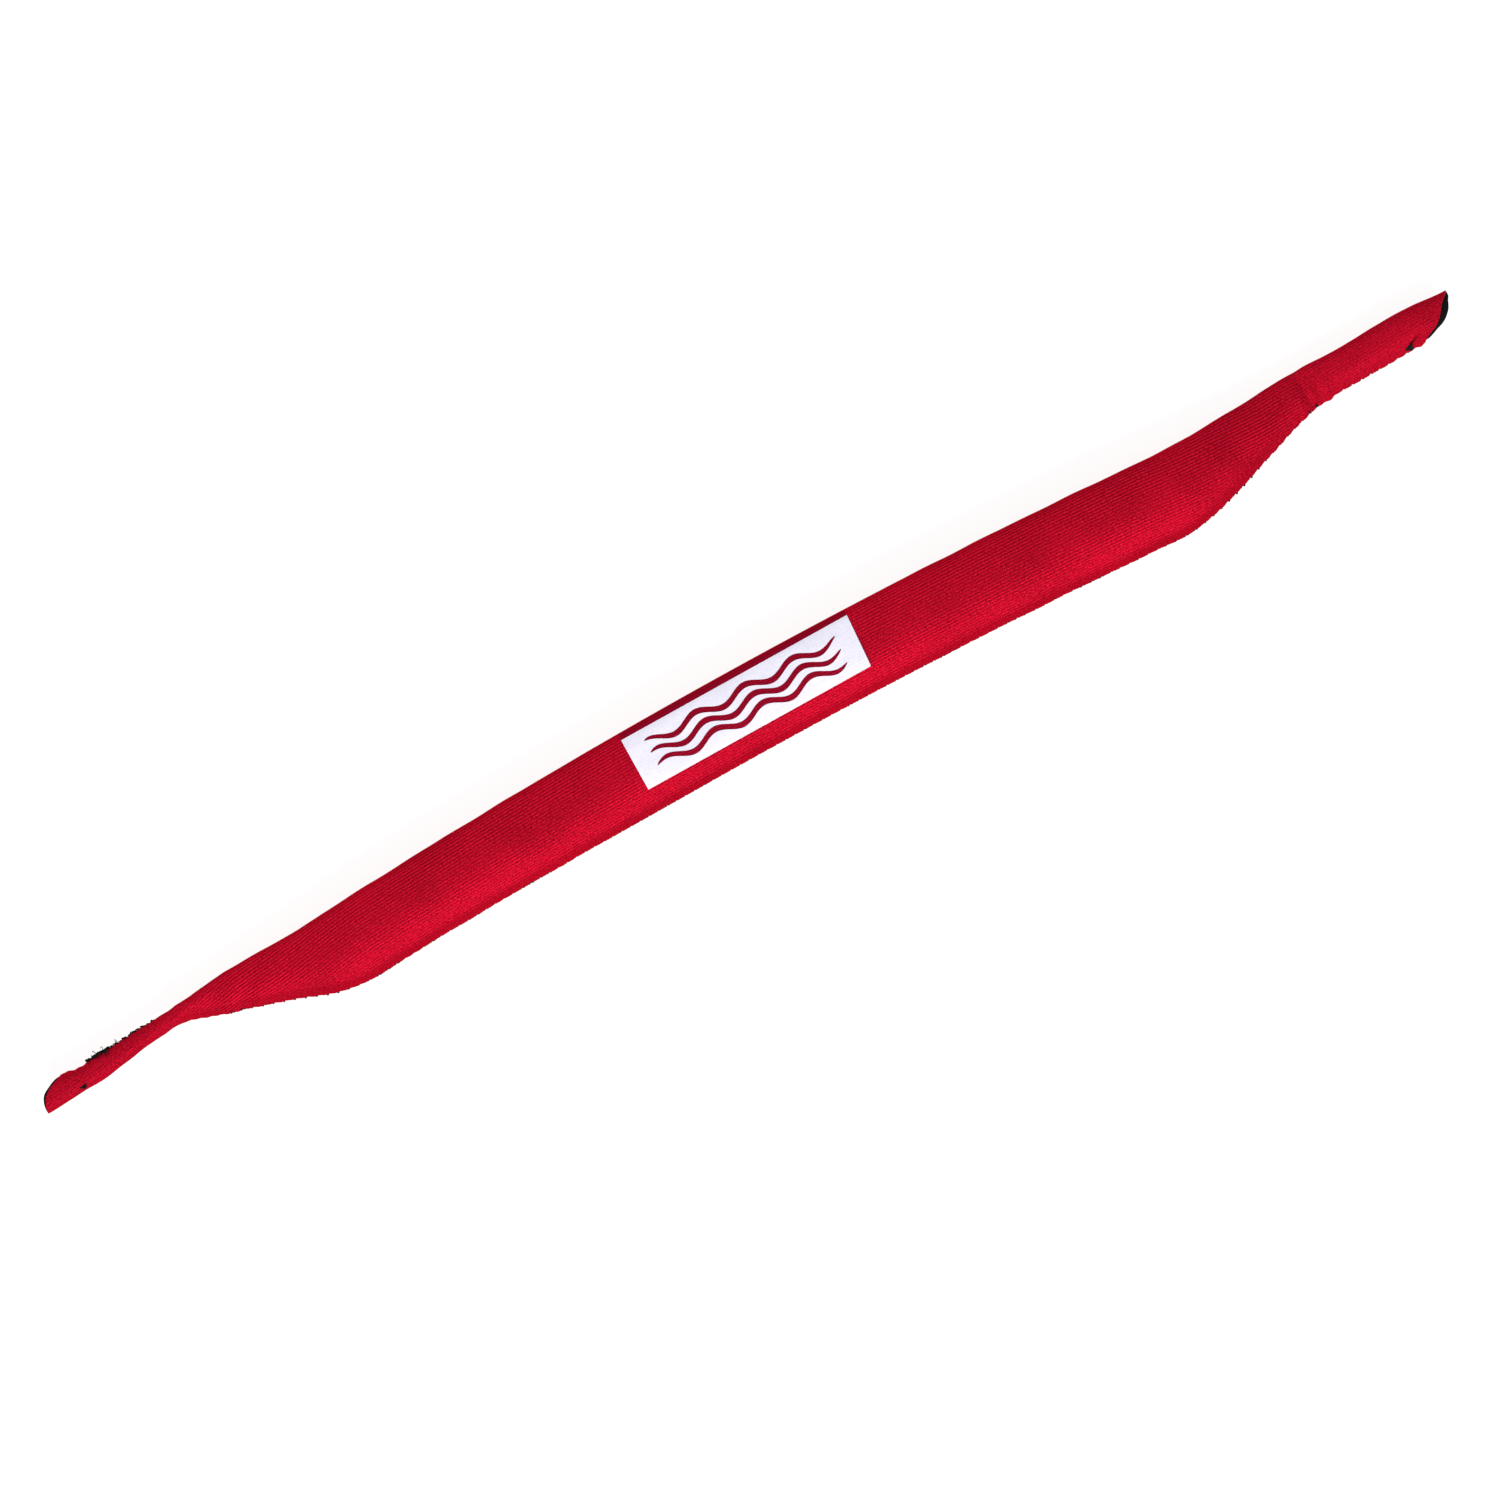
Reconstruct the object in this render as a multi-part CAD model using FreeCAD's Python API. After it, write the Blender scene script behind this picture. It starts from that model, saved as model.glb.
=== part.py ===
import FreeCAD, Part
import math
import os

# A floating strap for sunglasses: one strip of neoprene laminate, folded lengthwise and sewn shut
# along one edge, with a foam float in its wide middle and a hollow sleeve at each end that takes
# the tip of a temple arm. Millimetres. +X runs along the strap, +Y towards the folded edge, +Z
# out of the printed face. The strap lies on its back at z = 0, with the origin under the badge.
# Its left sleeve lies twisted, on edge. The cover and the float are cut at the lines where the
# strap bends, so that each length of it is a rigid body between two hinges.

Vector = FreeCAD.Vector

# Driving dimensions
TIP = 205.0               # from the middle to the tip of each sleeve
FLOAT_WIDTH = 22.0        # fold to seam, over the float
FLOAT_THICKNESS = 12.5
LEFT_SLACK = 1.2          # how much narrower the cover lies near the left end of the float
NECK_THICKNESS = 5.0
SLEEVE_WIDTH = 10.4
SLEEVE_THICKNESS = 8.0
KNIT = 0.4                # thickness of the knit face
NEOPRENE = 1.0            # thickness of the neoprene and its lining
FLOAT_CLEARANCE = 0.2     # between the float and the lining
FLOAT_END = 157.0

# Where the sections change along the strap, from the middle: first and last distance
WIDTH_CHANGE = (113.0, 170.0)
THICKNESS_CHANGE = (108.0, 162.0)
SLEEVE_RISE = (168.0, 188.0)
MIDDLE_CHANGE = (118.0, 172.0)
TWIST_CHANGE = (112.0, 185.0)
DROOP_CHANGE = (168.0, 186.0)
LEFT_TWIST = 100.0        # degrees, at the left sleeve
LEFT_DROOP = 1.8          # how far the left sleeve sags away from the neck's line

# The lie of the strap: the folded edge is a shallow bow, and each sleeve lies straight
BOW_TOP = 9.2
BOW_RATE = 0.00028
BOW_MIDDLE = -6.0
FLAT_TRIM = 0.15          # how far the resting back is pressed flat
SLEEVE_Y = {"left": 1.1, "right": 1.2}
SLEEVE_Z = {"left": 6.0, "right": 4.3}

# The cross-section: a superellipse that is fuller at the fold than at the seam
FOLD_SHARE = 9.0 / 22.0   # of the float's width, from its thickest line to the fold
FOLD_EXPONENT = 4.0
SEAM_EXPONENT = 2.2
SLEEVE_EXPONENT = 2.6
OUTLINE_POINTS = 28

# Hinge lines, from the middle, and how far each one bends towards the back and the face
HINGES = {"inner": 55.0, "outer": 105.0, "neck": 140.0, "sleeve": 165.0}
BACK_BEND = {"inner": 35.0, "outer": 30.0, "neck": 40.0, "sleeve": 0.0}
FACE_BEND = {"inner": 12.0, "outer": 10.5, "neck": 25.0, "sleeve": 0.0}
HINGE_GAP = 0.5
TALL = 20.0               # half the height of the cutting prisms
OVERRUN = 1.0             # how far a solid runs past the face that it cuts or is cut by

# Mouth of a sleeve: it is cut square at the fold and sweeps back towards the seam
MOUTH_SWEEP = 14.0
MOUTH_POWER = 4

# Sewing
STITCH_PITCH = 2.64
STITCH_RADIUS = 0.3
STITCH_LENGTH = 3.0
STITCH_LEAN = 0.9
STITCH_MARGIN = 1.0       # from a hinge line
SEAM_END = 187.0
TACK_SIZE = (3.2, 1.4, 3.4)
TACK_AT = 189.0

# Badge: a printed film on the face of the middle length
BADGE_LENGTH = 65.0
BADGE_WIDTH = 14.2
BADGE_FILM = 0.2


def ease(distance, span):
    """Rise smoothly from 0 at the start of the span to 1 at its end."""
    share = min(1.0, max(0.0, (distance - span[0]) / (span[1] - span[0])))
    return share * share * (3.0 - 2.0 * share)


def blend(first, last, share):
    return first + (last - first) * share


def side_of(x):
    return "left" if x < 0 else "right"


def width(x):
    near = FLOAT_WIDTH
    if x < 0:
        near -= LEFT_SLACK * ease(-x, (20.0, WIDTH_CHANGE[0]))
    return blend(near, SLEEVE_WIDTH, ease(abs(x), WIDTH_CHANGE))


def thickness(x):
    tapered = blend(FLOAT_THICKNESS, NECK_THICKNESS, ease(abs(x), THICKNESS_CHANGE))
    return tapered + (SLEEVE_THICKNESS - NECK_THICKNESS) * ease(abs(x), SLEEVE_RISE)


def twist(x):
    """Turn of the section about the strap's line, in radians; the seam goes under."""
    return math.radians(LEFT_TWIST) * ease(-x, TWIST_CHANGE)


def middle(x):
    """Centre of the section, halfway between the fold and the seam."""
    to_sleeve = ease(abs(x), MIDDLE_CHANGE)
    fold = BOW_TOP - BOW_RATE * (x - BOW_MIDDLE) ** 2
    y = blend(fold - width(x) / 2, SLEEVE_Y[side_of(x)], to_sleeve)
    y -= LEFT_DROOP * ease(-x, DROOP_CHANGE)
    z = blend(FLOAT_THICKNESS / 2 - FLAT_TRIM, SLEEVE_Z[side_of(x)], to_sleeve)
    return y, z


def place(x, across, out):
    """Point of the section at x, from its distances across the strap and out of its face."""
    y, z = middle(x)
    turn = twist(x)
    return Vector(
        x,
        y + across * math.cos(turn) - out * math.sin(turn),
        z + across * math.sin(turn) + out * math.cos(turn),
    )


def outline(x, inset):
    """Points round the strap at x, from the middle of its back, taken in by inset."""
    like_float = 1.0 - ease(abs(x), MIDDLE_CHANGE)
    fold_half = width(x) * blend(0.5, FOLD_SHARE, like_float)
    seam_half = width(x) - fold_half
    centre = width(x) / 2 - fold_half
    high = thickness(x) / 2 - inset
    points = []
    for step in range(OUTLINE_POINTS + 1):
        angle = 2 * math.pi * step / OUTLINE_POINTS - math.pi / 2
        cosine, sine = math.cos(angle), math.sin(angle)
        at_fold = cosine >= 0
        wide = (fold_half if at_fold else seam_half) - inset
        full = FOLD_EXPONENT if at_fold else SEAM_EXPONENT
        power = blend(SLEEVE_EXPONENT, full, like_float)
        reach = (abs(cosine / wide) ** power + abs(sine / high) ** power) ** (-1 / power)
        points.append(place(x, centre + reach * cosine, reach * sine))
    points[-1] = points[0]
    return points


def solid_between(start, end, inset):
    """Solid of the strap from start to end, taken in by inset."""
    spacing = 10.0 if max(abs(start), abs(end)) <= HINGES["outer"] else 4.0
    count = max(3, math.ceil((end - start) / spacing))
    stations = [blend(start, end, step / count) for step in range(count + 1)]
    skin = Part.BSplineSurface()
    skin.interpolate([outline(x, inset) for x in stations])
    first, last, _, _ = skin.bounds()
    caps = [Part.Face(Part.Wire([skin.uIso(u).toShape()])) for u in (first, last)]
    shell = Part.makeShell([skin.toShape(), *caps])
    shell.sewShape()
    solid = Part.makeSolid(shell)
    if solid.Volume < 0:
        solid.reverse()
    return solid


def hinge_edge(name, side, inward):
    """Top, pivot and bottom of one length's end at a hinge line, in the XZ plane.

    inward is -1 when the length lies on the low-X side of the hinge, and 1 on the other.
    """
    x = HINGES[name] * (1 if side == "right" else -1)
    z = middle(x)[1]
    tip = x + inward * HINGE_GAP / 2
    top = tip + inward * TALL * math.tan(math.radians(FACE_BEND[name] / 2))
    bottom = tip + inward * TALL * math.tan(math.radians(BACK_BEND[name] / 2))
    return [(top, z + TALL), (tip, z), (bottom, z - TALL)]


def prism(corners):
    """Solid over a closed polygon in the XZ plane, across the whole strap, above the table."""
    points = [Vector(x, -2 * TALL, z) for x, z in corners]
    face = Part.Face(Part.makePolygon([*points, points[0]]))
    tall = face.extrude(Vector(0, 4 * TALL, 0))
    above = Part.makeBox(3 * TIP, 4 * TALL, 2 * TALL, Vector(-1.5 * TIP, -2 * TALL, 0))
    return tall.common(above)


def mouth_cutter(side):
    """Solid that takes away everything beyond the swept mouth of a sleeve."""
    sign = 1 if side == "right" else -1
    half = SLEEVE_WIDTH / 2
    steps = 6
    curve_points = []
    for step in range(steps + 1):
        share = step / steps
        reach = TIP - MOUTH_SWEEP * share ** MOUTH_POWER
        curve_points.append(Vector(sign * reach, half - share * SLEEVE_WIDTH, -TALL / 2))
    curve = Part.BSplineCurve()
    curve.interpolate(curve_points)
    far = sign * (TIP + 10)
    first, last = curve_points[0], curve_points[-1]
    corners = [
        last,
        Vector(last.x, -TALL, -TALL / 2),
        Vector(far, -TALL, -TALL / 2),
        Vector(far, TALL, -TALL / 2),
        Vector(first.x, TALL, -TALL / 2),
        first,
    ]
    wire = Part.Wire([curve.toShape(), *Part.makePolygon(corners).Edges])
    cutter = Part.Face(wire).extrude(Vector(0, 0, TALL))
    turn = math.degrees(twist(sign * TIP))
    cutter.rotate(Vector(0, 0, 0), Vector(1, 0, 0), turn)
    cutter.translate(Vector(0, *middle(sign * TIP)))
    return cutter


def seam_edge(x):
    """Point on the sewn edge of the section at x."""
    return place(x, -width(x) / 2, 0)


def stitches(start, end):
    """Separate stitches over the sewn edge, leaning along the strap."""
    count = int((end - start) / STITCH_PITCH)
    margin = (end - start - (count - 1) * STITCH_PITCH) / 2
    solids = []
    for step in range(count):
        x = start + margin + step * STITCH_PITCH
        down = place(x, 0, -1) - place(x, 0, 0)
        lean = Vector(STITCH_LEAN, 0, 0)
        along = down * STITCH_LENGTH + lean
        base = seam_edge(x) - along / 2
        solids.append(Part.makeCylinder(STITCH_RADIUS, along.Length, base, along))
    return Part.makeCompound(solids)


def bar_tack(side):
    """Block of close stitches that locks the end of the seam."""
    x = TACK_AT * (1 if side == "right" else -1)
    long, deep, high = TACK_SIZE
    block = Part.makeBox(long, deep, high, Vector(-long / 2, -deep / 2, -high / 2))
    block = block.makeFillet(deep / 4, block.Edges)
    block.rotate(Vector(0, 0, 0), Vector(1, 0, 0), math.degrees(twist(x)))
    block.translate(seam_edge(x))
    return block


def badge():
    """Film that follows the face of the middle length."""
    half = BADGE_LENGTH / 2
    film = solid_between(-half, half, -BADGE_FILM).cut(solid_between(-half - OVERRUN, half + OVERRUN, 0))
    corner = Vector(-half, -BADGE_WIDTH / 2, middle(0)[1])
    patch = Part.makeBox(BADGE_LENGTH, BADGE_WIDTH, TALL, corner)
    return film.common(patch)


def lengths():
    """Each rigid length of the strap: its name, its side and its ends along X.

    The sleeves run past their tips here, and their mouths are cut later.
    """
    yield "centre", "right", -HINGES["inner"], HINGES["inner"]
    marks = [*HINGES.items(), ("mouth", TIP + OVERRUN)]
    for (name, near), (_, far) in zip(marks, marks[1:]):
        yield f"left_{name}", "left", -far, -near
        yield f"right_{name}", "right", near, far


def window(name, side, end):
    """Space that one length may fill, between the slanted ends at its hinge lines."""
    if name == "centre":
        return prism(hinge_edge("inner", "left", 1) + hinge_edge("inner", "right", -1)[::-1])
    outward = 1 if side == "right" else -1
    hinges = list(HINGES)
    hinge = name.split("_")[1]
    near = hinge_edge(hinge, side, outward)
    if hinge == hinges[-1]:
        beyond = outward * (end + TALL)
        return prism([*near, (beyond, -TALL), (beyond, 2 * TALL)]).cut(mouth_cutter(side))
    far = hinge_edge(hinges[hinges.index(hinge) + 1], side, -outward)
    return prism(near + far[::-1])


def cover_layers(start, end, space):
    """The knit face and, bonded inside it, the neoprene with its lining."""
    face = solid_between(start, end, 0)
    bond = solid_between(start - OVERRUN, end + OVERRUN, KNIT)
    lining = solid_between(start - 2 * OVERRUN, end + 2 * OVERRUN, KNIT + NEOPRENE)
    return face.cut(bond).common(space), bond.cut(lining).common(space)


def foam(start, end, space):
    """The float's share of a length, or None where the float doesn't reach."""
    low, high = max(start, -FLOAT_END), min(end, FLOAT_END)
    if low >= high:
        return None
    return solid_between(low, high, KNIT + NEOPRENE + FLOAT_CLEARANCE).common(space)


def export(shape, node):
    shape.exportStep(f"parts/{node}.step")
    volume = sum(solid.Volume for solid in shape.Solids)
    print(f"{node}: {len(shape.Solids)} solids, {volume:.1f} mm3, valid {shape.isValid()}")


def main():
    os.makedirs("parts", exist_ok=True)
    for name, side, start, end in lengths():
        space = window(name, side, max(abs(start), abs(end)))
        knit, neoprene = cover_layers(start, end, space)
        export(knit, f"knit_{name}")
        export(neoprene, f"neoprene_{name}")
        core = foam(start, end, space)
        if core:
            export(core, f"float_{name}")
        sewn = max(start, -SEAM_END) + STITCH_MARGIN, min(end, SEAM_END) - STITCH_MARGIN
        export(stitches(*sewn), f"seam_thread_{name}")
    for side in ("left", "right"):
        export(bar_tack(side), f"bar_tack_{side}")
    export(badge(), "badge")


main()
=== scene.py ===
"""A floating strap for sunglasses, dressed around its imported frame.

The strap is one strip of ribbed knit laminated to neoprene. It is folded lengthwise, sewn shut
along one edge with a black zigzag, padded in the middle by a foam float, and open at both ends as
sleeves for the temple arms. Sizes are in millimetres until they reach a mesh, and meshes are in
metres.
"""

import logging
import math
from dataclasses import dataclass, field
from enum import Enum
from typing import Any, Iterator, Sequence

import bpy
import numpy as np
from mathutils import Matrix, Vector


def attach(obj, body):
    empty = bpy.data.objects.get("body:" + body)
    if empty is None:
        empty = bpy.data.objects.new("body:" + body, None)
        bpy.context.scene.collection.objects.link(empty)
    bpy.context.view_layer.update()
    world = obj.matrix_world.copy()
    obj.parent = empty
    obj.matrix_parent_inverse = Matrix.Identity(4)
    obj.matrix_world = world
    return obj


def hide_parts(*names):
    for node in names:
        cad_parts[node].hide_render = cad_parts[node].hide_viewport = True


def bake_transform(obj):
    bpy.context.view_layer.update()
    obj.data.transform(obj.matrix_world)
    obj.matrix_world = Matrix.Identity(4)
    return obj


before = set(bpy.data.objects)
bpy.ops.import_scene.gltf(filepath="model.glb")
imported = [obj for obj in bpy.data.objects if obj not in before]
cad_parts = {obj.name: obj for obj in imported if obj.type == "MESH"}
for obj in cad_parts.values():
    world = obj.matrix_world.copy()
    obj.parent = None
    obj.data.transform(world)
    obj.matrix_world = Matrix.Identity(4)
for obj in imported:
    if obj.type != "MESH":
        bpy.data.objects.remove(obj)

LOG = logging.getLogger("strap")
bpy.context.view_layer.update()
MM = 0.001
TURN = 2 * math.pi
WHITE = (1.0, 1.0, 1.0, 1.0)


def ease(distance: Any, start: float, end: float) -> Any:
    """Rise smoothly from 0 at start to 1 at end."""
    share = np.clip((distance - start) / (end - start), 0.0, 1.0)
    return share * share * (3.0 - 2.0 * share)


def hump(distance: Any, centre: float, spread: float) -> Any:
    """Rounded bump of height 1 at centre, which fades out over spread."""
    return np.exp(-(((distance - centre) / spread) ** 2))


def through(at: float, knots: Sequence[tuple[float, float]]) -> float:
    """Value at a place on a smooth curve through knots, which doesn't overshoot them."""
    x, y = np.array(knots, float).T
    if at <= x[0] or at >= x[-1]:
        return float(y[0] if at <= x[0] else y[-1])
    rise = np.diff(y) / np.diff(x)
    slope = np.zeros(len(x))
    same = rise[:-1] * rise[1:] > 0
    slope[1:-1][same] = 2 * rise[:-1][same] * rise[1:][same] / (rise[:-1] + rise[1:])[same]
    k = int(np.searchsorted(x, at)) - 1
    span = x[k + 1] - x[k]
    t = (at - x[k]) / span
    start = y[k] * (1 + 2 * t) * (1 - t) ** 2 + slope[k] * span * t * (1 - t) ** 2
    return float(start + y[k + 1] * t * t * (3 - 2 * t) + slope[k + 1] * span * t * t * (t - 1))


class Side(Enum):
    """End of the strap, by the sign of its X."""

    LEFT = -1
    RIGHT = 1


class Relief(Enum):
    """How much of the cloth's own unevenness a layer shows."""

    PLAIN = 0
    FOLDS = 1
    PUCKERS = 2


@dataclass(frozen=True)
class Lie:
    """How one end of the strap lies. Knots pair a distance from the middle with a value.

    The sleeve is the Y and Z of its centre. The mouth is how far its cut sweeps back at the seam,
    the power of that sweep and its even slant.
    """

    sleeve: tuple[float, float]
    mouth: tuple[float, float, float]
    thickness: tuple[tuple[float, float], ...]
    slack: float = 0.0
    gather: tuple[tuple[float, float], ...] = ((0.0, 1.0), (205.0, 1.0))
    twist: tuple[tuple[float, float], ...] = ((0.0, 0.0), (205.0, 0.0))
    shift: tuple[tuple[float, float], ...] = ((0.0, 0.0), (205.0, 0.0))


LEFT_LIE = Lie(
    sleeve=(1.1, 5.4),
    mouth=(7.0, 3.2, 1.0),
    thickness=((160, 4.0), (164, 4.5), (168, 4.5), (172, 4.2), (177, 4.4), (183, 5.1), (190, 5.8),
               (205, 6.0)),
    slack=1.2,
    gather=((118, 1.0), (124, 0.98), (128, 0.95), (132, 0.91), (136, 0.87), (144, 0.835),
            (148, 0.79), (152, 0.755), (156, 0.67), (160, 0.655), (164, 0.67), (168, 0.59),
            (172, 0.45), (176, 0.475), (182, 0.515), (188, 0.6), (192.5, 0.545), (198, 0.66),
            (205, 0.68)),
    twist=((124, 0), (140, 3), (150, 5), (153, 8), (156, 17), (160, 44), (164, 73), (168, 103),
           (171, 133), (175, 152), (181, 160), (188, 168), (205, 176)),
    shift=((118, 0.0), (124, -0.22), (128, -0.5), (136, -0.69), (144, -0.55), (148, -0.55),
           (152, -0.8), (156, -0.6), (160, -0.5), (164, -0.25), (168, -0.38), (172, -0.7),
           (176, -0.9), (180, -1.5), (184, -1.9), (188, -2.25), (192.5, -2.65), (198, -2.4),
           (205, -2.6)),
)
RIGHT_LIE = Lie(
    sleeve=(1.2, 4.3),
    mouth=(9.2, 2.9, 1.0),
    thickness=((160, 5.0), (166, 6.4), (182, 7.6), (205, 7.6)),
    gather=((156, 1.0), (163, 0.985), (170, 0.945), (178, 0.94), (184, 0.975), (189, 0.965),
            (195, 0.93), (205, 0.9)),
    shift=((124, 0.0), (132, -0.2), (140, -0.45), (147, -0.6), (153, -0.3), (158, -0.1),
           (165, -0.15), (172, -0.25), (180, -0.1), (186, 0.05), (196, 0.2), (205, -0.4)),
)


@dataclass(frozen=True)
class Swell:
    """A rounded rise or hollow of the cloth: its height, where its middle is and its spread."""

    height: float
    centre: float
    spread: float

    def at(self, distance: Any) -> Any:
        """How far the cloth stands off at a distance."""
        return self.height * hump(distance, self.centre, self.spread)


@dataclass(frozen=True)
class Ripple:
    """A slight wave of the slack cloth: its height, its lengths along and across, its phase."""

    height: float
    along: float
    across: float
    phase: float

    def at(self, x: float, arc: np.ndarray) -> np.ndarray:
        """How far the cloth stands off at a place."""
        return self.height * np.sin(TURN * x / self.along + arc / self.across + self.phase)


@dataclass(frozen=True)
class StrapForm:
    """Outer form of the strap, as cross-sections along X, in millimetres."""

    tip: float = 205.0
    float_width: float = 22.0
    float_thickness: float = 12.5
    sleeve_width: float = 10.4
    width_change: tuple[float, float] = (113.0, 170.0)
    thickness_change: tuple[float, float] = (108.0, 162.0)
    middle_change: tuple[float, float] = (118.0, 172.0)
    bow_top: float = 9.2
    bow_rate: float = 0.00028
    bow_middle: float = -6.0
    flat_trim: float = 0.15
    fold_share: float = 9.0 / 22.0
    fold_exponent: float = 4.0
    seam_exponent: float = 2.2
    tube_exponent: float = 2.6
    edge_exponent: float = 1.6
    knit: float = 0.4
    wall: float = 1.4
    stitch_pitch: float = 2.64
    mouth_reach: float = 20.0
    seam_roll: Swell = Swell(0.12, 0.0, 0.8)
    seam_groove: Swell = Swell(-0.2, 2.2, 0.9)
    ripples: tuple[Ripple, ...] = (Ripple(0.05, 23.0, 5.0, 0.0), Ripple(0.04, 13.7, -3.1, 1.3))
    ripple_start: tuple[float, float] = (36.0, 60.0)
    crease_at: float = 161.5
    crease_lean: float = 0.06
    crease: Swell = Swell(-1.25, 0.0, 1.7)
    crease_lip: Swell = Swell(0.4, 3.6, 2.2)
    crease_at_fold: float = 0.08
    crease_change: tuple[float, float] = (0.5, 4.5)
    drag: Swell = Swell(0.07, -150.0, 14.0)
    drag_wave: tuple[float, float] = (13.0, 9.0)
    pinch: Swell = Swell(-1.5, 187.4, 0.75)
    pinch_lean: float = 1.35
    pinch_band: Swell = Swell(1.0, 2.7, 1.4)
    flare: Swell = Swell(0.35, 193.0, 1.4)
    flare_fade: float = 2.0
    pucker: tuple[float, float] = (0.09, 0.05)
    pucker_change: tuple[float, float] = (120.0, 165.0)
    pucker_fade: float = 1.5
    lies: dict[Side, Lie] = field(
        default_factory=lambda: {Side.LEFT: LEFT_LIE, Side.RIGHT: RIGHT_LIE}
    )

    def lie(self, x: float) -> Lie:
        """Lie of the end that x is on."""
        return self.lies[Side.LEFT if x < 0 else Side.RIGHT]

    def width(self, x: float) -> float:
        """Flat width from fold to seam."""
        lie = self.lie(x)
        near = self.float_width - lie.slack * ease(abs(x), 20.0, self.width_change[0])
        flat = near + (self.sleeve_width - near) * ease(abs(x), *self.width_change)
        return flat * through(abs(x), lie.gather)

    def thickness(self, x: float) -> float:
        """Thickness from back to face."""
        taper = ease(abs(x), *self.thickness_change)
        end = through(abs(x), self.lie(x).thickness)
        return self.float_thickness + (end - self.float_thickness) * taper

    def twist(self, x: float) -> float:
        """Turn of the section about the strap's line, in radians."""
        return math.radians(through(abs(x), self.lie(x).twist))

    def middle(self, x: float) -> tuple[float, float]:
        """Y and Z of the section's centre."""
        lie, share = self.lie(x), ease(abs(x), *self.middle_change)
        y = self.bow_top - self.bow_rate * (x - self.bow_middle) ** 2 - self.width(x) / 2
        y += (lie.sleeve[0] - y) * share + through(abs(x), lie.shift)
        z = self.float_thickness / 2 - self.flat_trim
        return y, z + (lie.sleeve[1] - z) * share

    def section(self, x: float, inset: float, fine: int = 720) -> tuple[np.ndarray, np.ndarray]:
        """Closed fine outline at x, from the seam over the face to the fold and back underneath.

        Args:
            x: Distance along the strap.
            inset: How far the outline is taken in.
            fine: Number of points.

        Returns:
            Distances across the strap and out of its face, before the section is twisted.
        """
        like_float = 1.0 - ease(abs(x), *self.middle_change)
        width, high = self.width(x), self.thickness(x) / 2 - inset
        fold_half = width * (0.5 + (self.fold_share - 0.5) * like_float)
        angle = math.pi - np.arange(fine + 1) * TURN / fine
        cosine, sine = np.cos(angle), np.sin(angle)
        at_fold = cosine >= 0
        half = np.where(at_fold, fold_half, width - fold_half) - inset
        float_power = np.where(at_fold, self.fold_exponent, self.seam_exponent)
        tube_power = np.where(at_fold, self.tube_exponent, self.seam_exponent)
        sharp_power = np.where(at_fold, self.tube_exponent, self.edge_exponent)
        flat = 2 / (tube_power + (float_power - tube_power) * like_float)
        round_off = 2 / (sharp_power + (float_power - sharp_power) * like_float)
        across = half * np.sign(cosine) * np.abs(cosine) ** flat
        return width / 2 - fold_half + across, high * np.sign(sine) * np.abs(sine) ** round_off

    def outline(self, x: float, inset: float) -> "Outline":
        """Outline of the section at x, taken in by inset."""
        across, out = self.section(x, inset)
        length = np.concatenate([[0.0], np.cumsum(np.hypot(np.diff(across), np.diff(out)))])
        run = np.stack([np.roll(v[:-1], -1) - np.roll(v[:-1], 1) for v in (across, out)])
        run = np.concatenate([run, run[:, :1]], axis=1)
        run = run / np.hypot(*run)
        return Outline(across, out, length, np.stack([-run[1], run[0]]))

    def relief(self, x: float, arc: np.ndarray, seam: np.ndarray, kind: Relief) -> np.ndarray:
        """How far the cloth stands off the plain form, in millimetres outwards.

        Args:
            x: Distance along the strap.
            arc: Distance over the surface from the fold, positive on the face.
            seam: Distance over the surface from the seam.
            kind: How much of it the layer shows.

        Returns:
            Offsets along the section's outward normals.
        """
        if kind is Relief.PLAIN:
            return np.zeros_like(arc)
        groove = self.seam_roll.at(seam) + self.seam_groove.at(seam)
        slack = sum(ripple.at(x, arc) for ripple in self.ripples)
        slack = slack * ease(abs(x), *self.ripple_start)
        neck = x - self.crease_at - self.crease_lean * arc
        crease = self.crease.at(neck) + self.crease_lip.at(neck)
        crease *= self.crease_at_fold + (1 - self.crease_at_fold) * ease(arc, *self.crease_change)
        along, across = self.drag_wave
        drag = self.drag.at(x) * np.sin(TURN * (x / along + arc / across))
        row = self.pinch.centre + self.pinch_lean * seam
        pinch = self.pinch.height * hump(x, row, self.pinch.spread)
        pinch = pinch * self.pinch_band.at(seam) * (arc > 0)
        flare = self.flare.at(x) * np.exp(-seam / self.flare_fade)
        folds = groove + slack + crease + drag + pinch + flare
        if kind is Relief.FOLDS:
            return folds
        middle, more = self.pucker
        pull = middle + more * ease(abs(x), *self.pucker_change)
        pull = pull * math.cos(TURN * x / self.stitch_pitch)
        return folds + pull * np.exp(-seam / self.pucker_fade)

    def ring(self, x: float, over: np.ndarray, inset: float, kind: Relief) -> "Ring":
        """Ring of the strap's surface at x.

        Args:
            x: Distance along the strap.
            over: Distances over the surface from the fold, positive on the face. Those past the
                seam end at it.
            inset: How far the ring is taken in.
            kind: How much of the cloth's relief it shows.

        Returns:
            The ring.
        """
        line = self.outline(x, inset)
        arc = np.clip(over, -line.half, line.half)
        across, out, normal = line.at(line.half - arc)
        lift = self.relief(x, arc, line.half - np.abs(arc), kind)
        across, out = across + normal[0] * lift, out + normal[1] * lift
        turn, (y, z) = self.twist(x), self.middle(x)
        spin = np.array([[math.cos(turn), -math.sin(turn)], [math.sin(turn), math.cos(turn)]])
        points = (spin @ np.stack([across, out])).T + (y, z)
        points[:, 1] = np.maximum(points[:, 1], inset)
        return Ring(points, (spin @ normal).T, arc, np.abs(over) > line.half - 0.02)

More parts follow.
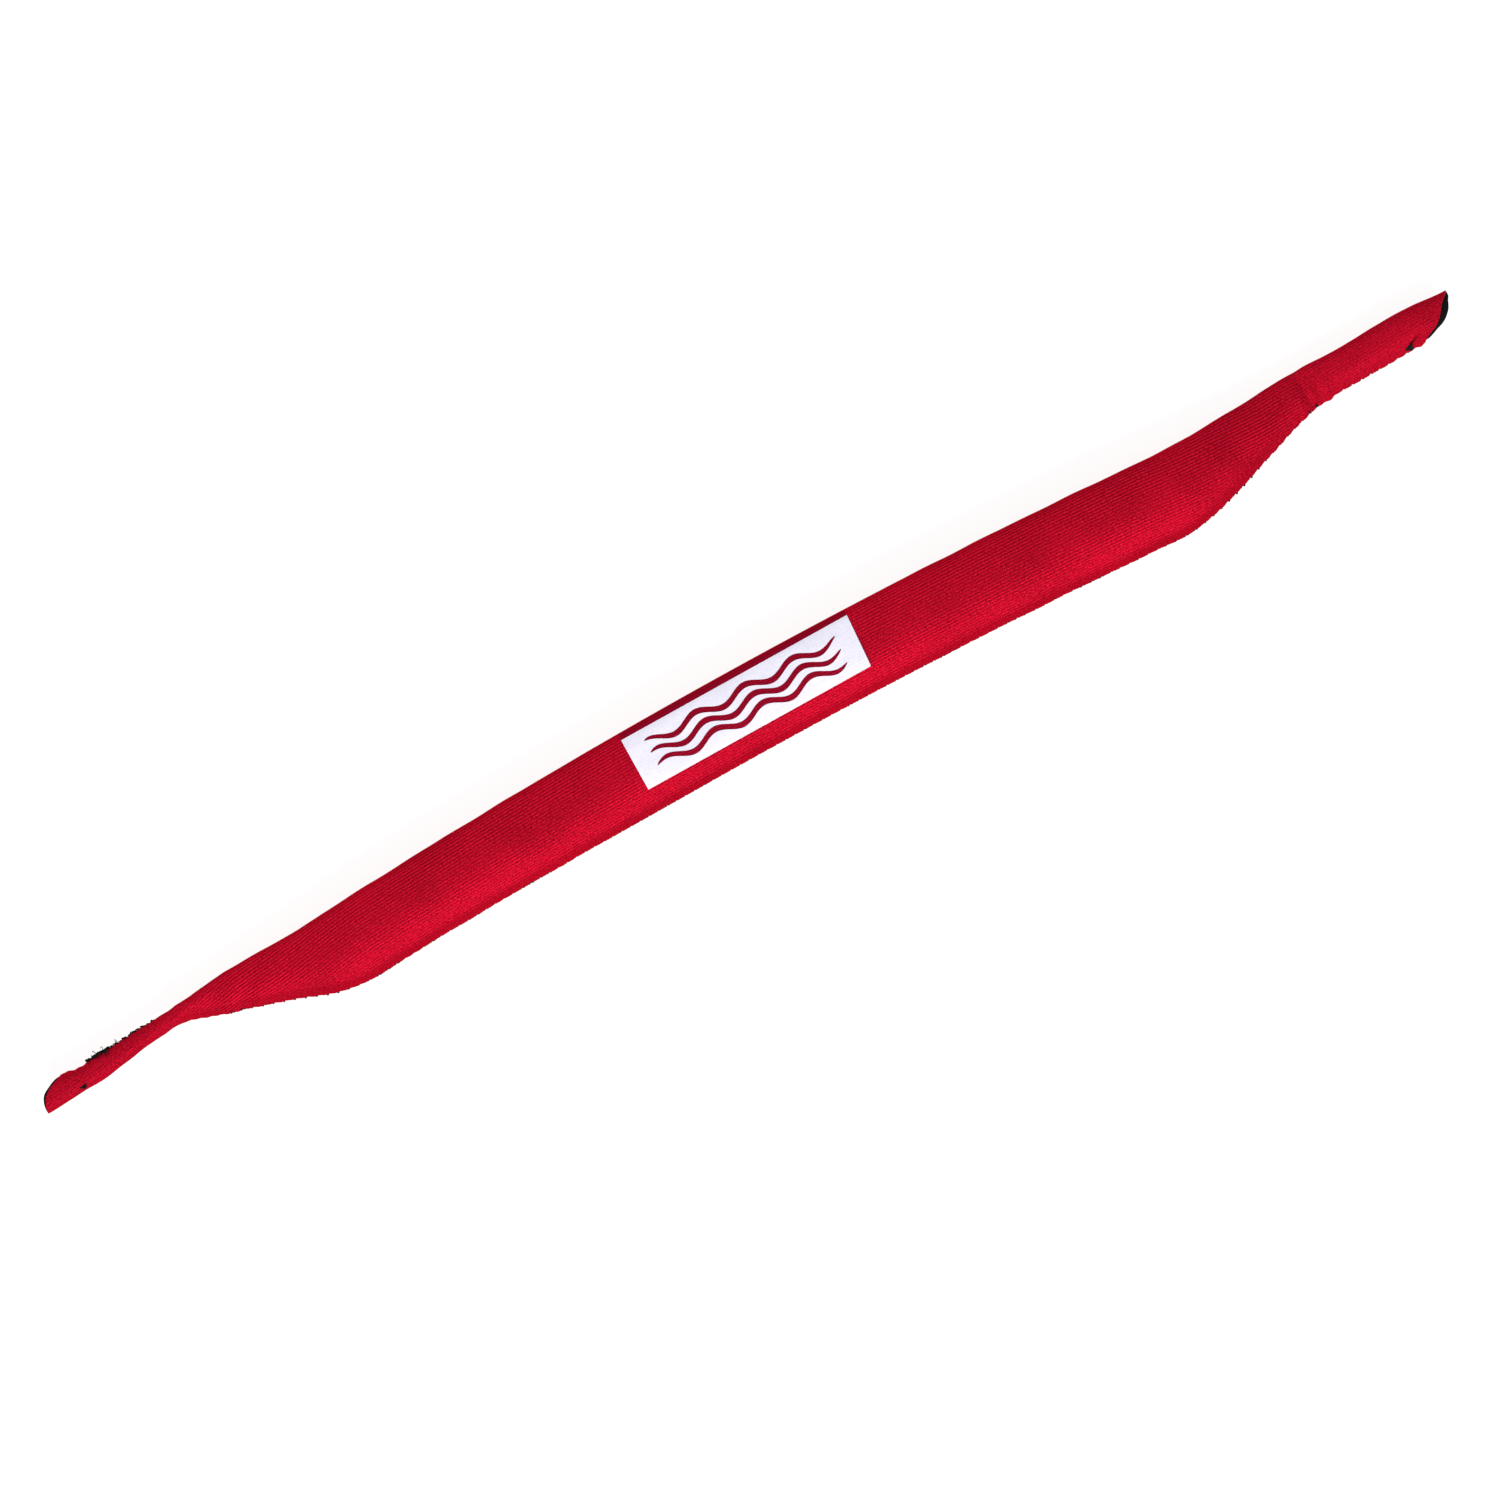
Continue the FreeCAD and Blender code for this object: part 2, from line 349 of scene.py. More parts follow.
    def mouth(self, over: np.ndarray, side: Side, set_back: float) -> np.ndarray:
        """Distance from the middle at which each column of a sleeve meets its cut mouth.

        Args:
            over: Distances over the surface from the fold, positive on the face.
            side: Which sleeve.
            set_back: How much shorter than the back the face is cut, halfway across.

        Returns:
            The distance of each column.
        """
        line = self.outline(side.value * self.tip, 0.0)
        across, out, _ = line.at(line.half - np.clip(over, -line.half, line.half))
        share = np.clip(0.5 - across / self.width(side.value * self.tip), 0.0, 1.0)
        sweep, power, slant = self.lies[side].mouth
        swept = self.tip - sweep * share**power - slant * share
        bare = np.sin(math.pi * share**0.8) * (1.0 + out / np.abs(out).max()) / 2
        return swept - set_back * (bare + 0.22 * ease(share, 0.0, 0.4))

    def skin(self, stations: np.ndarray, step: float, inset: float, kind: Relief,
             set_back: float = 0.0) -> "Skin":
        """Grid of points over the strap, with the mouths cut.

        Args:
            stations: Distances along the strap, in order.
            step: Distance between the columns of points, which run parallel to the fold.
            inset: How far the skin is taken in.
            kind: How much of the cloth's relief it shows.
            set_back: How much shorter than the back its face is cut at a mouth.

        Returns:
            The skin.
        """
        half = max(self.outline(x, inset).half for x in stations)
        count = math.ceil(half / step)
        over = np.arange(count, -count - 1, -1) * step
        rings = [self.ring(x, over, inset, kind) for x in stations]
        values = np.array([np.column_stack([r.points, r.outward, r.arc, r.shut]) for r in rings])
        along = np.repeat(stations[:, None], len(over), axis=1)
        if np.abs(stations).max() > self.tip - 1.0:
            side = Side.LEFT if stations.mean() < 0 else Side.RIGHT
            base = self.tip - self.mouth_reach
            share = np.clip((np.abs(along) - base) / self.mouth_reach, 0.0, 1.0)
            reach = share * (self.mouth(over, side, set_back)[None, :] - base)
            along = side.value * (np.minimum(np.abs(along), base) + reach)
            for at, column in zip(along.T, values.transpose(1, 2, 0)):
                for row in column:
                    row[:] = np.interp(at, stations, row)
        points = np.concatenate([along[..., None], values[..., :2]], axis=2)
        outward = np.concatenate([np.zeros_like(along)[..., None], values[..., 2:4]], axis=2)
        cloth = np.stack([along, values[..., 4]], axis=2)
        return Skin(points * MM, outward, cloth * MM, values[..., 5] > 0.5)


@dataclass(frozen=True)
class Outline:
    """Fine closed outline of a section, from the seam over the face to the fold and back."""

    across: np.ndarray
    out: np.ndarray
    length: np.ndarray
    normal: np.ndarray

    @property
    def half(self) -> float:
        """Distance over the surface from the fold to the seam."""
        return float(self.length[-1] / 2)

    def at(self, along: np.ndarray) -> tuple[np.ndarray, np.ndarray, np.ndarray]:
        """Distances across and out, and the outward normals, at lengths along the outline."""
        across, out, *normal = (
            np.interp(along, self.length, v) for v in (self.across, self.out, *self.normal)
        )
        return across, out, np.stack(normal) / np.hypot(*normal)


@dataclass(frozen=True)
class Ring:
    """Points of the surface at one place along the strap, with their normals and arcs."""

    points: np.ndarray
    outward: np.ndarray
    arc: np.ndarray
    shut: np.ndarray


@dataclass
class Skin:
    """Grid of points along and round the strap, in metres.

    Its columns run parallel to the fold. Where the strap narrows they end at the seam, and there
    the points of a row that are marked shut are one point.
    """

    points: np.ndarray
    outward: np.ndarray
    cloth: np.ndarray
    shut: np.ndarray

    def area(self) -> float:
        """Surface of the grid, in square metres."""
        a, b = self.points[:-1, :-1], self.points[1:, :-1]
        c, d = self.points[1:, 1:], self.points[:-1, 1:]
        return float(np.linalg.norm(np.cross(c - a, d - b), axis=2).sum() / 2)

    def numbers(self, first: int) -> np.ndarray:
        """Number of each point, counted from first, where the shut points of a row share one."""
        rows, columns = self.shut.shape
        own = np.arange(rows * columns).reshape(rows, columns)
        return np.where(self.shut, own[:, :1], own) + first

    def inward(self, depth: float) -> "Skin":
        """The same grid, moved in along its normals by millimetres and kept off the ground."""
        points = self.points - self.outward * depth * MM
        points[..., 2] = np.maximum(points[..., 2], depth * MM)
        return Skin(points, self.outward * 0.0, self.cloth, self.shut)

    def thinned(self, step: int) -> "Skin":
        """The same grid with only some of its rows, and always the first and the last."""
        rows = sorted({*range(0, len(self.points), step), len(self.points) - 1})
        kept = (self.points, self.outward, self.cloth, self.shut)
        return Skin(*(values[rows] for values in kept))


class MeshShop:
    """Turns grids of points into finished mesh objects."""

    UV = "Cloth"
    SHARP = 40.0

    @staticmethod
    def put(name: str, points: np.ndarray, faces: Sequence, uv: np.ndarray | None,
            materials: Sequence[bpy.types.Material],
            index: np.ndarray | None = None) -> bpy.types.Object:
        """Make an object from points and faces.

        Args:
            name: Name of the piece.
            points: Points, in metres.
            faces: Corners of each face, outwards.
            uv: Cloth coordinates of each corner, in order, or None.
            materials: Materials of the piece.
            index: Material of each face, or None.

        Returns:
            The linked object, at the origin.
        """
        mesh = bpy.data.meshes.new(name)
        mesh.from_pydata(np.asarray(points).tolist(), [], [list(map(int, f)) for f in faces])
        if uv is not None:
            layer = mesh.uv_layers.new(name=MeshShop.UV)
            layer.data.foreach_set("uv", np.ascontiguousarray(uv, np.float32).ravel())
        for material in materials:
            mesh.materials.append(material)
        if index is not None:
            mesh.polygons.foreach_set("material_index", np.asarray(index, np.int32))
        mesh.polygons.foreach_set("use_smooth", np.ones(len(mesh.polygons), bool))
        mesh.update()
        mesh.set_sharp_from_angle(angle=math.radians(MeshShop.SHARP))
        made = bpy.data.objects.new(name, mesh)
        bpy.context.scene.collection.objects.link(made)
        return made

    @staticmethod
    def panes(numbers: np.ndarray, cloth: np.ndarray, outward: bool) -> tuple[list, list]:
        """Faces over a grid of numbered points, with the cloth coordinates of their corners.

        Args:
            numbers: Number of each point of the grid.
            cloth: Cloth coordinates of each point.
            outward: Whether the faces look out of the strap.

        Returns:
            The faces and their coordinates. Corners that share a number are one corner.
        """
        corners = [(slice(None, -1), slice(None, -1)), (slice(1, None), slice(None, -1)),
                   (slice(1, None), slice(1, None)), (slice(None, -1), slice(1, None))]
        quads = np.stack([numbers[c].ravel() for c in corners], axis=1)
        places = np.stack([cloth[c].reshape(-1, 2) for c in corners], axis=1)
        if not outward:
            quads, places = quads[:, ::-1], places[:, ::-1]
        faces, uv = [], []
        for quad, place in zip(quads.tolist(), places.tolist()):
            kept = [k for k in range(4) if quad[k] != quad[k - 1]]
            if len(kept) > 2 and len(set(quad)) == len(kept):
                faces.append([quad[k] for k in kept])
                uv += [place[k] for k in kept]
        return faces, uv

    @staticmethod
    def used(faces: Sequence[Sequence[int]]) -> tuple[np.ndarray, list[np.ndarray]]:
        """Numbers of the points that the faces use, and the faces renumbered to match."""
        corners = np.concatenate([np.asarray(face) for face in faces])
        kept, places = np.unique(corners, return_inverse=True)
        return kept, np.split(places, np.cumsum([len(face) for face in faces])[:-1])

    @classmethod
    def shell(cls, name: str, outer: Skin, inner: Skin, materials: Sequence[bpy.types.Material],
              rim: int) -> bpy.types.Object:
        """Closed wall between two skins with the same columns.

        Args:
            name: Name of the piece.
            outer: Outer skin.
            inner: Inner skin.
            materials: Materials of the piece.
            rim: Which of them the two ends take.

        Returns:
            The piece. Its points keep their outward direction and cloth coordinates.
        """
        numbers, deeper = outer.numbers(0), inner.numbers(outer.shut.size)
        faces, uv = cls.panes(numbers, outer.cloth, True)
        more, more_uv = cls.panes(deeper, inner.cloth, False)
        faces, uv = faces + more, uv + more_uv
        index = [0] * len(faces)
        for row, outward in ((0, False), (-1, True)):
            pair = np.stack([numbers[row], deeper[row]])
            cloth = np.stack([outer.cloth[row], inner.cloth[row]])
            rims, rim_uv = cls.panes(pair, cloth, outward)
            faces, uv, index = faces + rims, uv + rim_uv, index + [rim] * len(rims)
        points = np.concatenate([s.points.reshape(-1, 3) for s in (outer, inner)])
        outward = np.concatenate([s.outward.reshape(-1, 3) for s in (outer, inner)])
        cloth = np.concatenate([s.cloth.reshape(-1, 2) for s in (outer, inner)])
        used, faces = cls.used(faces)
        made = cls.put(name, points[used], faces, np.array(uv), materials, np.array(index))
        layer = made.data.attributes.new("rim", "BOOLEAN", "FACE")
        layer.data.foreach_set("value", np.array(index) > 0)
        cls.mark(made, "outward", outward[used])
        cls.mark(made, "cloth", np.column_stack([cloth[used], np.zeros(len(used))]))
        return made

    @staticmethod
    def mark(piece: bpy.types.Object, label: str, values: np.ndarray) -> None:
        """Keep a vector for each point of a piece."""
        layer = piece.data.attributes.new(label, "FLOAT_VECTOR", "POINT")
        layer.data.foreach_set("vector", np.ascontiguousarray(values, np.float32).ravel())

    @staticmethod
    def unmark(piece: bpy.types.Object) -> None:
        """Drop what a shell keeps for its points and faces."""
        for label in ("outward", "cloth", "rim"):
            piece.data.attributes.remove(piece.data.attributes[label])

    @classmethod
    def plug(cls, name: str, skin: Skin, material: bpy.types.Material) -> bpy.types.Object:
        """Solid inside one skin, with flat ends."""
        numbers = skin.numbers(0)
        faces, uv = cls.panes(numbers, skin.cloth, True)
        cloth = skin.cloth.reshape(-1, 2)
        for row, back in ((0, 1), (-1, -1)):
            loop = list(dict.fromkeys(numbers[row].tolist()))[::back]
            faces.append(loop)
            uv += [cloth[number].tolist() for number in loop]
        used, faces = cls.used(faces)
        return cls.put(name, skin.points.reshape(-1, 3)[used], faces, np.array(uv), [material])

    @staticmethod
    def tube(path: np.ndarray, radius: float, sides: int = 6,
             taper: float = 0.25) -> tuple[np.ndarray, list[list[int]]]:
        """Thin closed tube along a path.

        Args:
            path: Points of its middle.
            radius: Its radius.
            sides: How many sides it has.
            taper: Share of the radius that is left at its ends.

        Returns:
            Its points and faces.
        """
        rings, final = [], len(path) - 1
        angles = np.arange(sides) * TURN / sides
        side = Vector((0.3, 0.5, 0.8))
        for step, point in enumerate(path):
            ahead = Vector(path[min(step + 1, final)] - path[max(step - 1, 0)]).normalized()
            side = (side - ahead * side.dot(ahead)).normalized()
            other = ahead.cross(side)
            size = radius * (taper if step in (0, final) else 1.0)
            rings.append([
                Vector(point) + (side * math.cos(a) + other * math.sin(a)) * size for a in angles
            ])
        points = np.array(rings).reshape(-1, 3)
        i, j = np.meshgrid(np.arange(final), np.arange(sides), indexing="ij")
        after = (j + 1) % sides
        quads = [i * sides + j, i * sides + after, (i + 1) * sides + after, (i + 1) * sides + j]
        faces = [list(f) for f in np.stack([q.ravel() for q in quads], axis=1)]
        last = final * sides
        return points, [*faces, list(range(sides))[::-1], list(range(last, last + sides))]


# Materials


class Value:
    """A number that varies over a surface. Its operators add Math nodes."""

    def __init__(self, shader: "Shader", socket: bpy.types.NodeSocket) -> None:
        """Wrap a socket of a shader."""
        self.shader = shader
        self.socket = socket

    def math(self, operation: str, *others: "Value | float", swap: bool = False) -> "Value":
        """Result of a Math node on this value and others."""
        values = [*others, self] if swap else [self, *others]
        made = self.shader.node("Math", {"operation": operation}, dict(enumerate(values)))
        return Value(self.shader, made.outputs[0])

    def __add__(self, other: "Value | float") -> "Value":
        """Sum."""
        return self.math("ADD", other)

    __radd__ = __add__

    def __sub__(self, other: "Value | float") -> "Value":
        """Difference."""
        return self.math("SUBTRACT", other)

    def __rsub__(self, other: float) -> "Value":
        """Difference from a number."""
        return self.math("SUBTRACT", other, swap=True)

    def __mul__(self, other: "Value | float") -> "Value":
        """Product."""
        return self.math("MULTIPLY", other)

    __rmul__ = __mul__

    def __pow__(self, other: float) -> "Value":
        """Power."""
        return self.math("POWER", other)

    def maximum(self, other: "Value | float") -> "Value":
        """The larger of two."""
        return self.math("MAXIMUM", other)

    def wave(self) -> "Value":
        """Smooth wave from 0 to 1, one for each whole number."""
        return (self * TURN).math("COSINE") * 0.5 + 0.5

    def clamp(self, low: float, high: float) -> "Value":
        """Value mapped from low..high to 0..1 and kept inside."""
        ends = {0: self, 1: low, 2: high, 3: 0.0, 4: 1.0}
        made = self.shader.node("MapRange", {"clamp": True}, ends)
        return Value(self.shader, made.outputs[0])


class Shader:
    """Node tree of one material, with a Principled shader at its end."""

    def __init__(self, name: str) -> None:
        """Start a material of that name."""
        self.material = bpy.data.materials.new(name)
        self.material.use_nodes = True
        self.tree = self.material.node_tree
        self.tree.nodes.clear()
        self.surface = self.node("BsdfPrincipled", {}, {})
        self.node("OutputMaterial", {}, {"Surface": self.surface.outputs[0]})

    def node(self, kind: str, settings: dict[str, Any], inputs: dict[Any, Any]) -> bpy.types.Node:
        """Add any shader node.

        Args:
            kind: Type of the node, without its ShaderNode prefix.
            settings: Properties, which are set first.
            inputs: Values, sockets or Values for its inputs, by name or number.

        Returns:
            The node.
        """
        made = self.tree.nodes.new("ShaderNode" + kind)
        for name, value in settings.items():
            setattr(made, name, value)
        for name, value in inputs.items():
            self.feed(made.inputs[name], value)
        return made

    def feed(self, socket: bpy.types.NodeSocket, value: Any) -> None:
        """Link or set one input."""
        if isinstance(value, Value):
            value = value.socket
        if isinstance(value, bpy.types.NodeSocket):
            self.tree.links.new(value, socket)
        else:
            socket.default_value = value

    def cloth(self) -> tuple[Value, Value]:
        """Distances along the strap and over it from the fold, in metres."""
        uv = self.node("UVMap", {"uv_map": MeshShop.UV}, {})
        parts = self.node("SeparateXYZ", {}, {0: uv.outputs[0]})
        return Value(self, parts.outputs[0]), Value(self, parts.outputs[1])

    def place(self) -> bpy.types.NodeSocket:
        """Object coordinates."""
        return self.node("TexCoord", {}, {}).outputs["Object"]

    def vector(self, x: Any, y: Any, z: Any = 0.0) -> bpy.types.NodeSocket:
        """Vector from three numbers or Values."""
        return self.node("CombineXYZ", {}, {0: x, 1: y, 2: z}).outputs[0]

    def noise(self, at: bpy.types.NodeSocket, scale: float, detail: float = 2.0) -> Value:
        """Noise from about 0.3 to 0.7 at that scale."""
        made = self.node("TexNoise", {}, {"Vector": at, "Scale": scale, "Detail": detail})
        return Value(self, made.outputs[0])

    def mix(self, factor: Value, low: Sequence[float] | bpy.types.NodeSocket,
            high: Sequence[float] | bpy.types.NodeSocket) -> bpy.types.NodeSocket:
        """Colour between two colours."""
        made = self.node("Mix", {"data_type": "RGBA"}, {0: factor, 6: low, 7: high})
        return made.outputs[2]

    def bump(self, height: Value, distance: float) -> None:
        """Raise the surface by height times distance, in metres."""
        made = self.node("Bump", {}, {"Strength": 1.0, "Distance": distance, "Height": height})
        self.feed(self.surface.inputs["Normal"], made.outputs[0])

    def finish(self, **sockets: Any) -> bpy.types.Material:
        """Set the shader's own sockets, by name with underscores, and return the material."""
        for name, value in sockets.items():
            label = name.replace("_", " ").title().replace("Ior", "IOR")
            self.feed(self.surface.inputs[label], value)
        return self.material


@dataclass(frozen=True)
class RibbedKnit:
    """Red knit face: fine satin ribs along the strap, loops along each rib and a fibre sparkle.

    Its rib lines and sparkle are painted highlights and shade in the colour. They show most in the upper
    part of the face, and the satin is dulled on the sleeves.
    """

    name: str = "red_ribbed_knit"
    # The darkest red is partly painted shade in the rib valleys; the brightest red is a painted highlight
    # on the rib lines and sparkle.
    deep: tuple = (0.160, 0.0010, 0.0058, 1.0)
    mid: tuple = (0.448, 0.0026, 0.0178, 1.0)
    rib_highlight: tuple = (0.790, 0.0180, 0.0500, 1.0)
    # Darker red of the knit in a band round the print: the strip above it and its open waves.
    pressed: tuple = (0.190, 0.0030, 0.0150, 1.0)
    satin: tuple = (1.0, 0.10, 0.16, 1.0)
    rib_pitch: float = 0.00079
    loop_pitch: float = 0.00066
    height: float = 0.00007
    sway_scale: float = 60.0
    fibre_scale: tuple[float, float] = (1500.0, 3400.0)
    glint_scale: float = 4200.0
    cloud_scale: float = 70.0
    sleeve_change: tuple[float, float] = (0.148, 0.166)
    ribs_fade: tuple[float, float] = (0.0105, 0.0155)
    print_band_end: tuple[float, float] = (0.0322, 0.0328)
    print_band_fold: tuple[float, float] = (0.0030, 0.0036)
    print_band_seam: tuple[float, float] = (0.0195, 0.0200)
    print_band_share: float = 0.8
    rough: float = 0.44
    gleam: float = 0.34
    gleam_lost: float = 0.22

    def make(self) -> bpy.types.Material:
        """Build the material."""
        shader = Shader(self.name)
        along, over = shader.cloth()
        sway = shader.noise(shader.vector(along * self.sway_scale, over * self.sway_scale), 1.0)
        rib = (over * (1 / self.rib_pitch) + (sway - 0.5) * 0.3).wave()
        loop = (along * (1 / self.loop_pitch) + rib * 0.45).wave()
        length_scale, girth_scale = self.fibre_scale
        fibre = shader.noise(shader.vector(along * length_scale, over * girth_scale), 1.0, 3.0)
        # Sparse bright specks: painted glints of the fibres.
        glint_speck = shader.noise(shader.place(), self.glint_scale, 1.0).clamp(0.60, 0.76)
        cloud = shader.noise(shader.place(), self.cloud_scale, 2.0)
        shader.bump(rib * 0.25 + loop * rib * 0.3 + fibre * 0.8, self.height)
        sleeve = along.math("ABSOLUTE").clamp(*self.sleeve_change)
        # The painted light and shade of the rib lines fade on the seam half of the face and on the
        # sleeves.
        ribbed = 1.0 - over.clamp(*self.ribs_fade).maximum(sleeve) * 0.7
        line = (rib - 0.5) * ribbed
        # Tone between the darkest and the mid red: painted shade in the rib valleys plus random fibre and
        # cloud tone.
        shade = line * 0.75 + loop * 0.14 + (fibre - 0.5) * 2.3 + (cloud - 0.5) * 0.6 + 0.44
        shade = shade.clamp(0.0, 1.0)
        # Painted highlights on the rib lines, loops and specks, towards the brightest red.
        sparkle = (glint_speck * 0.9 + (fibre - 0.45) * 0.9 + loop * 0.15).clamp(0.0, 1.0)
        colour = shader.mix(shade, self.deep, self.mid)
        colour = shader.mix((line + 0.55) * sparkle, colour, self.rib_highlight)
        # The knit is coloured darker in the band round the print.
        pressed = self.press(along, over) * self.print_band_share
        return shader.finish(
            base_color=shader.mix(pressed, colour, self.pressed),
            roughness=shade * -0.08 + self.rough, metallic=self.gleam - sleeve * self.gleam_lost,
            specular_ior_level=0.0, specular_tint=self.satin,
        )

    def press(self, along: Value, over: Value) -> Value:
        """1 in a band round the print, where the knit is coloured a darker red, 0 elsewhere."""
        ends = 1.0 - along.math("ABSOLUTE").clamp(*self.print_band_end)
        return ends * over.clamp(*self.print_band_fold) * (1.0 - over.clamp(*self.print_band_seam))


@dataclass(frozen=True)
class SpongeRubber:
    """Closed-cell rubber or foam: fine cells in a matt, even colour."""

    name: str
    low: tuple
    high: tuple
    cell: float
    height: float
    cloud_scale: float = 900.0
    rough: float = 0.80
    gloss: float = 0.07

    def make(self) -> bpy.types.Material:
        """Build the material."""
        shader = Shader(self.name)
        at = shader.place()
        cells = shader.node("TexVoronoi", {"feature": "F1"}, {"Vector": at, "Scale": 1 / self.cell})
        depth = Value(shader, cells.outputs["Distance"])
        cloud = shader.noise(at, self.cloud_scale, 3.0)
        shader.bump(depth, self.height)
        colour = shader.mix((cloud * 0.7 + depth * 0.4).clamp(0.2, 0.9), self.low, self.high)
        return shader.finish(base_color=colour, roughness=depth * 0.1 + self.rough,
                             specular_ior_level=self.gloss)


@dataclass(frozen=True)
class FibreFinish:
    """Fibres seen end on or spun together: a fine, matt unevenness of one dark colour."""

    name: str
    low: tuple
    high: tuple
    scale: float
    height: float
    span: tuple[float, float]
    rough: float
    gloss: float

    def make(self) -> bpy.types.Material:
        """Build the material."""
        shader = Shader(self.name)
        fibre = shader.noise(shader.place(), self.scale, 2.0)
        shader.bump(fibre, self.height)
        return shader.finish(base_color=shader.mix(fibre.clamp(*self.span), self.low, self.high),
                             roughness=self.rough, specular_ior_level=self.gloss)


@dataclass(frozen=True)
class PrintFilm:
    """White transfer print: smooth film that lets the ribs of the knit show through a little."""

    name: str = "white_print_film"
    low: tuple = (0.58, 0.575, 0.68, 1.0)
    high: tuple = (0.76, 0.73, 0.83, 1.0)
    rib_pitch: float = 0.00079
    height: float = 0.00004
    grain_scale: float = 1500.0
    cloud_scale: tuple[float, float] = (70.0, 160.0)
    rough: float = 0.36

    def make(self) -> bpy.types.Material:
        """Build the material."""
        shader = Shader(self.name)
        along, over = shader.cloth()
        rib = (over * (1 / self.rib_pitch)).wave()
        grain = shader.noise(shader.place(), self.grain_scale, 3.0)
        length_scale, girth_scale = self.cloud_scale
        cloud = shader.noise(shader.vector(along * length_scale, over * girth_scale), 1.0)
        shader.bump(rib * 0.35 + grain * 0.4, self.height)
        shade = (cloud * 0.6 + grain * 0.4 + rib * 0.08).clamp(0.3, 0.75)
        return shader.finish(base_color=shader.mix(shade, self.low, self.high),
                             roughness=grain * 0.15 + self.rough, specular_ior_level=0.5)


@dataclass(frozen=True)
class PlainFloor:
    """Plain pale floor that glows a little, so that shadows stay faint."""

    name: str = "pale_floor"
    grey: tuple = (0.3, 0.3, 0.3, 1.0)
    glow: float = 0.8

    def make(self) -> bpy.types.Material:
        """Build the material."""
        return Shader(self.name).finish(base_color=self.grey, roughness=0.9, specular_ior_level=0.0,
                                        emission_color=WHITE, emission_strength=self.glow)


class Wardrobe:
    """All the finishes of the strap, each made once."""

    def __init__(self) -> None:
        """Make the materials."""
        self.knit = RibbedKnit().make()
        self.cut = FibreFinish(
            "knit_cut_edge", low=(0.05, 0.002, 0.004, 1.0), high=(0.22, 0.006, 0.015, 1.0),
            scale=4200.0, height=0.00008, span=(0.3, 0.7), rough=0.9, gloss=0.5,
        ).make()
        self.neoprene = SpongeRubber(
            "black_neoprene", low=(0.0015, 0.0015, 0.002, 1.0), high=(0.0075, 0.007, 0.008, 1.0),
            cell=0.00022, height=0.00008,
        ).make()
        self.foam = SpongeRubber(
            "grey_float_foam", low=(0.16, 0.16, 0.17, 1.0), high=(0.30, 0.30, 0.31, 1.0),
            cell=0.0005, height=0.00012,
        ).make()
        self.thread = FibreFinish(
            "black_sewing_thread", low=(0.0015, 0.0012, 0.0018, 1.0),
            high=(0.014, 0.010, 0.012, 1.0), scale=6500.0, height=0.00005, span=(0.35, 0.65),
            rough=0.7, gloss=0.08,
        ).make()
        self.film = PrintFilm().make()


# Geometry Nodes


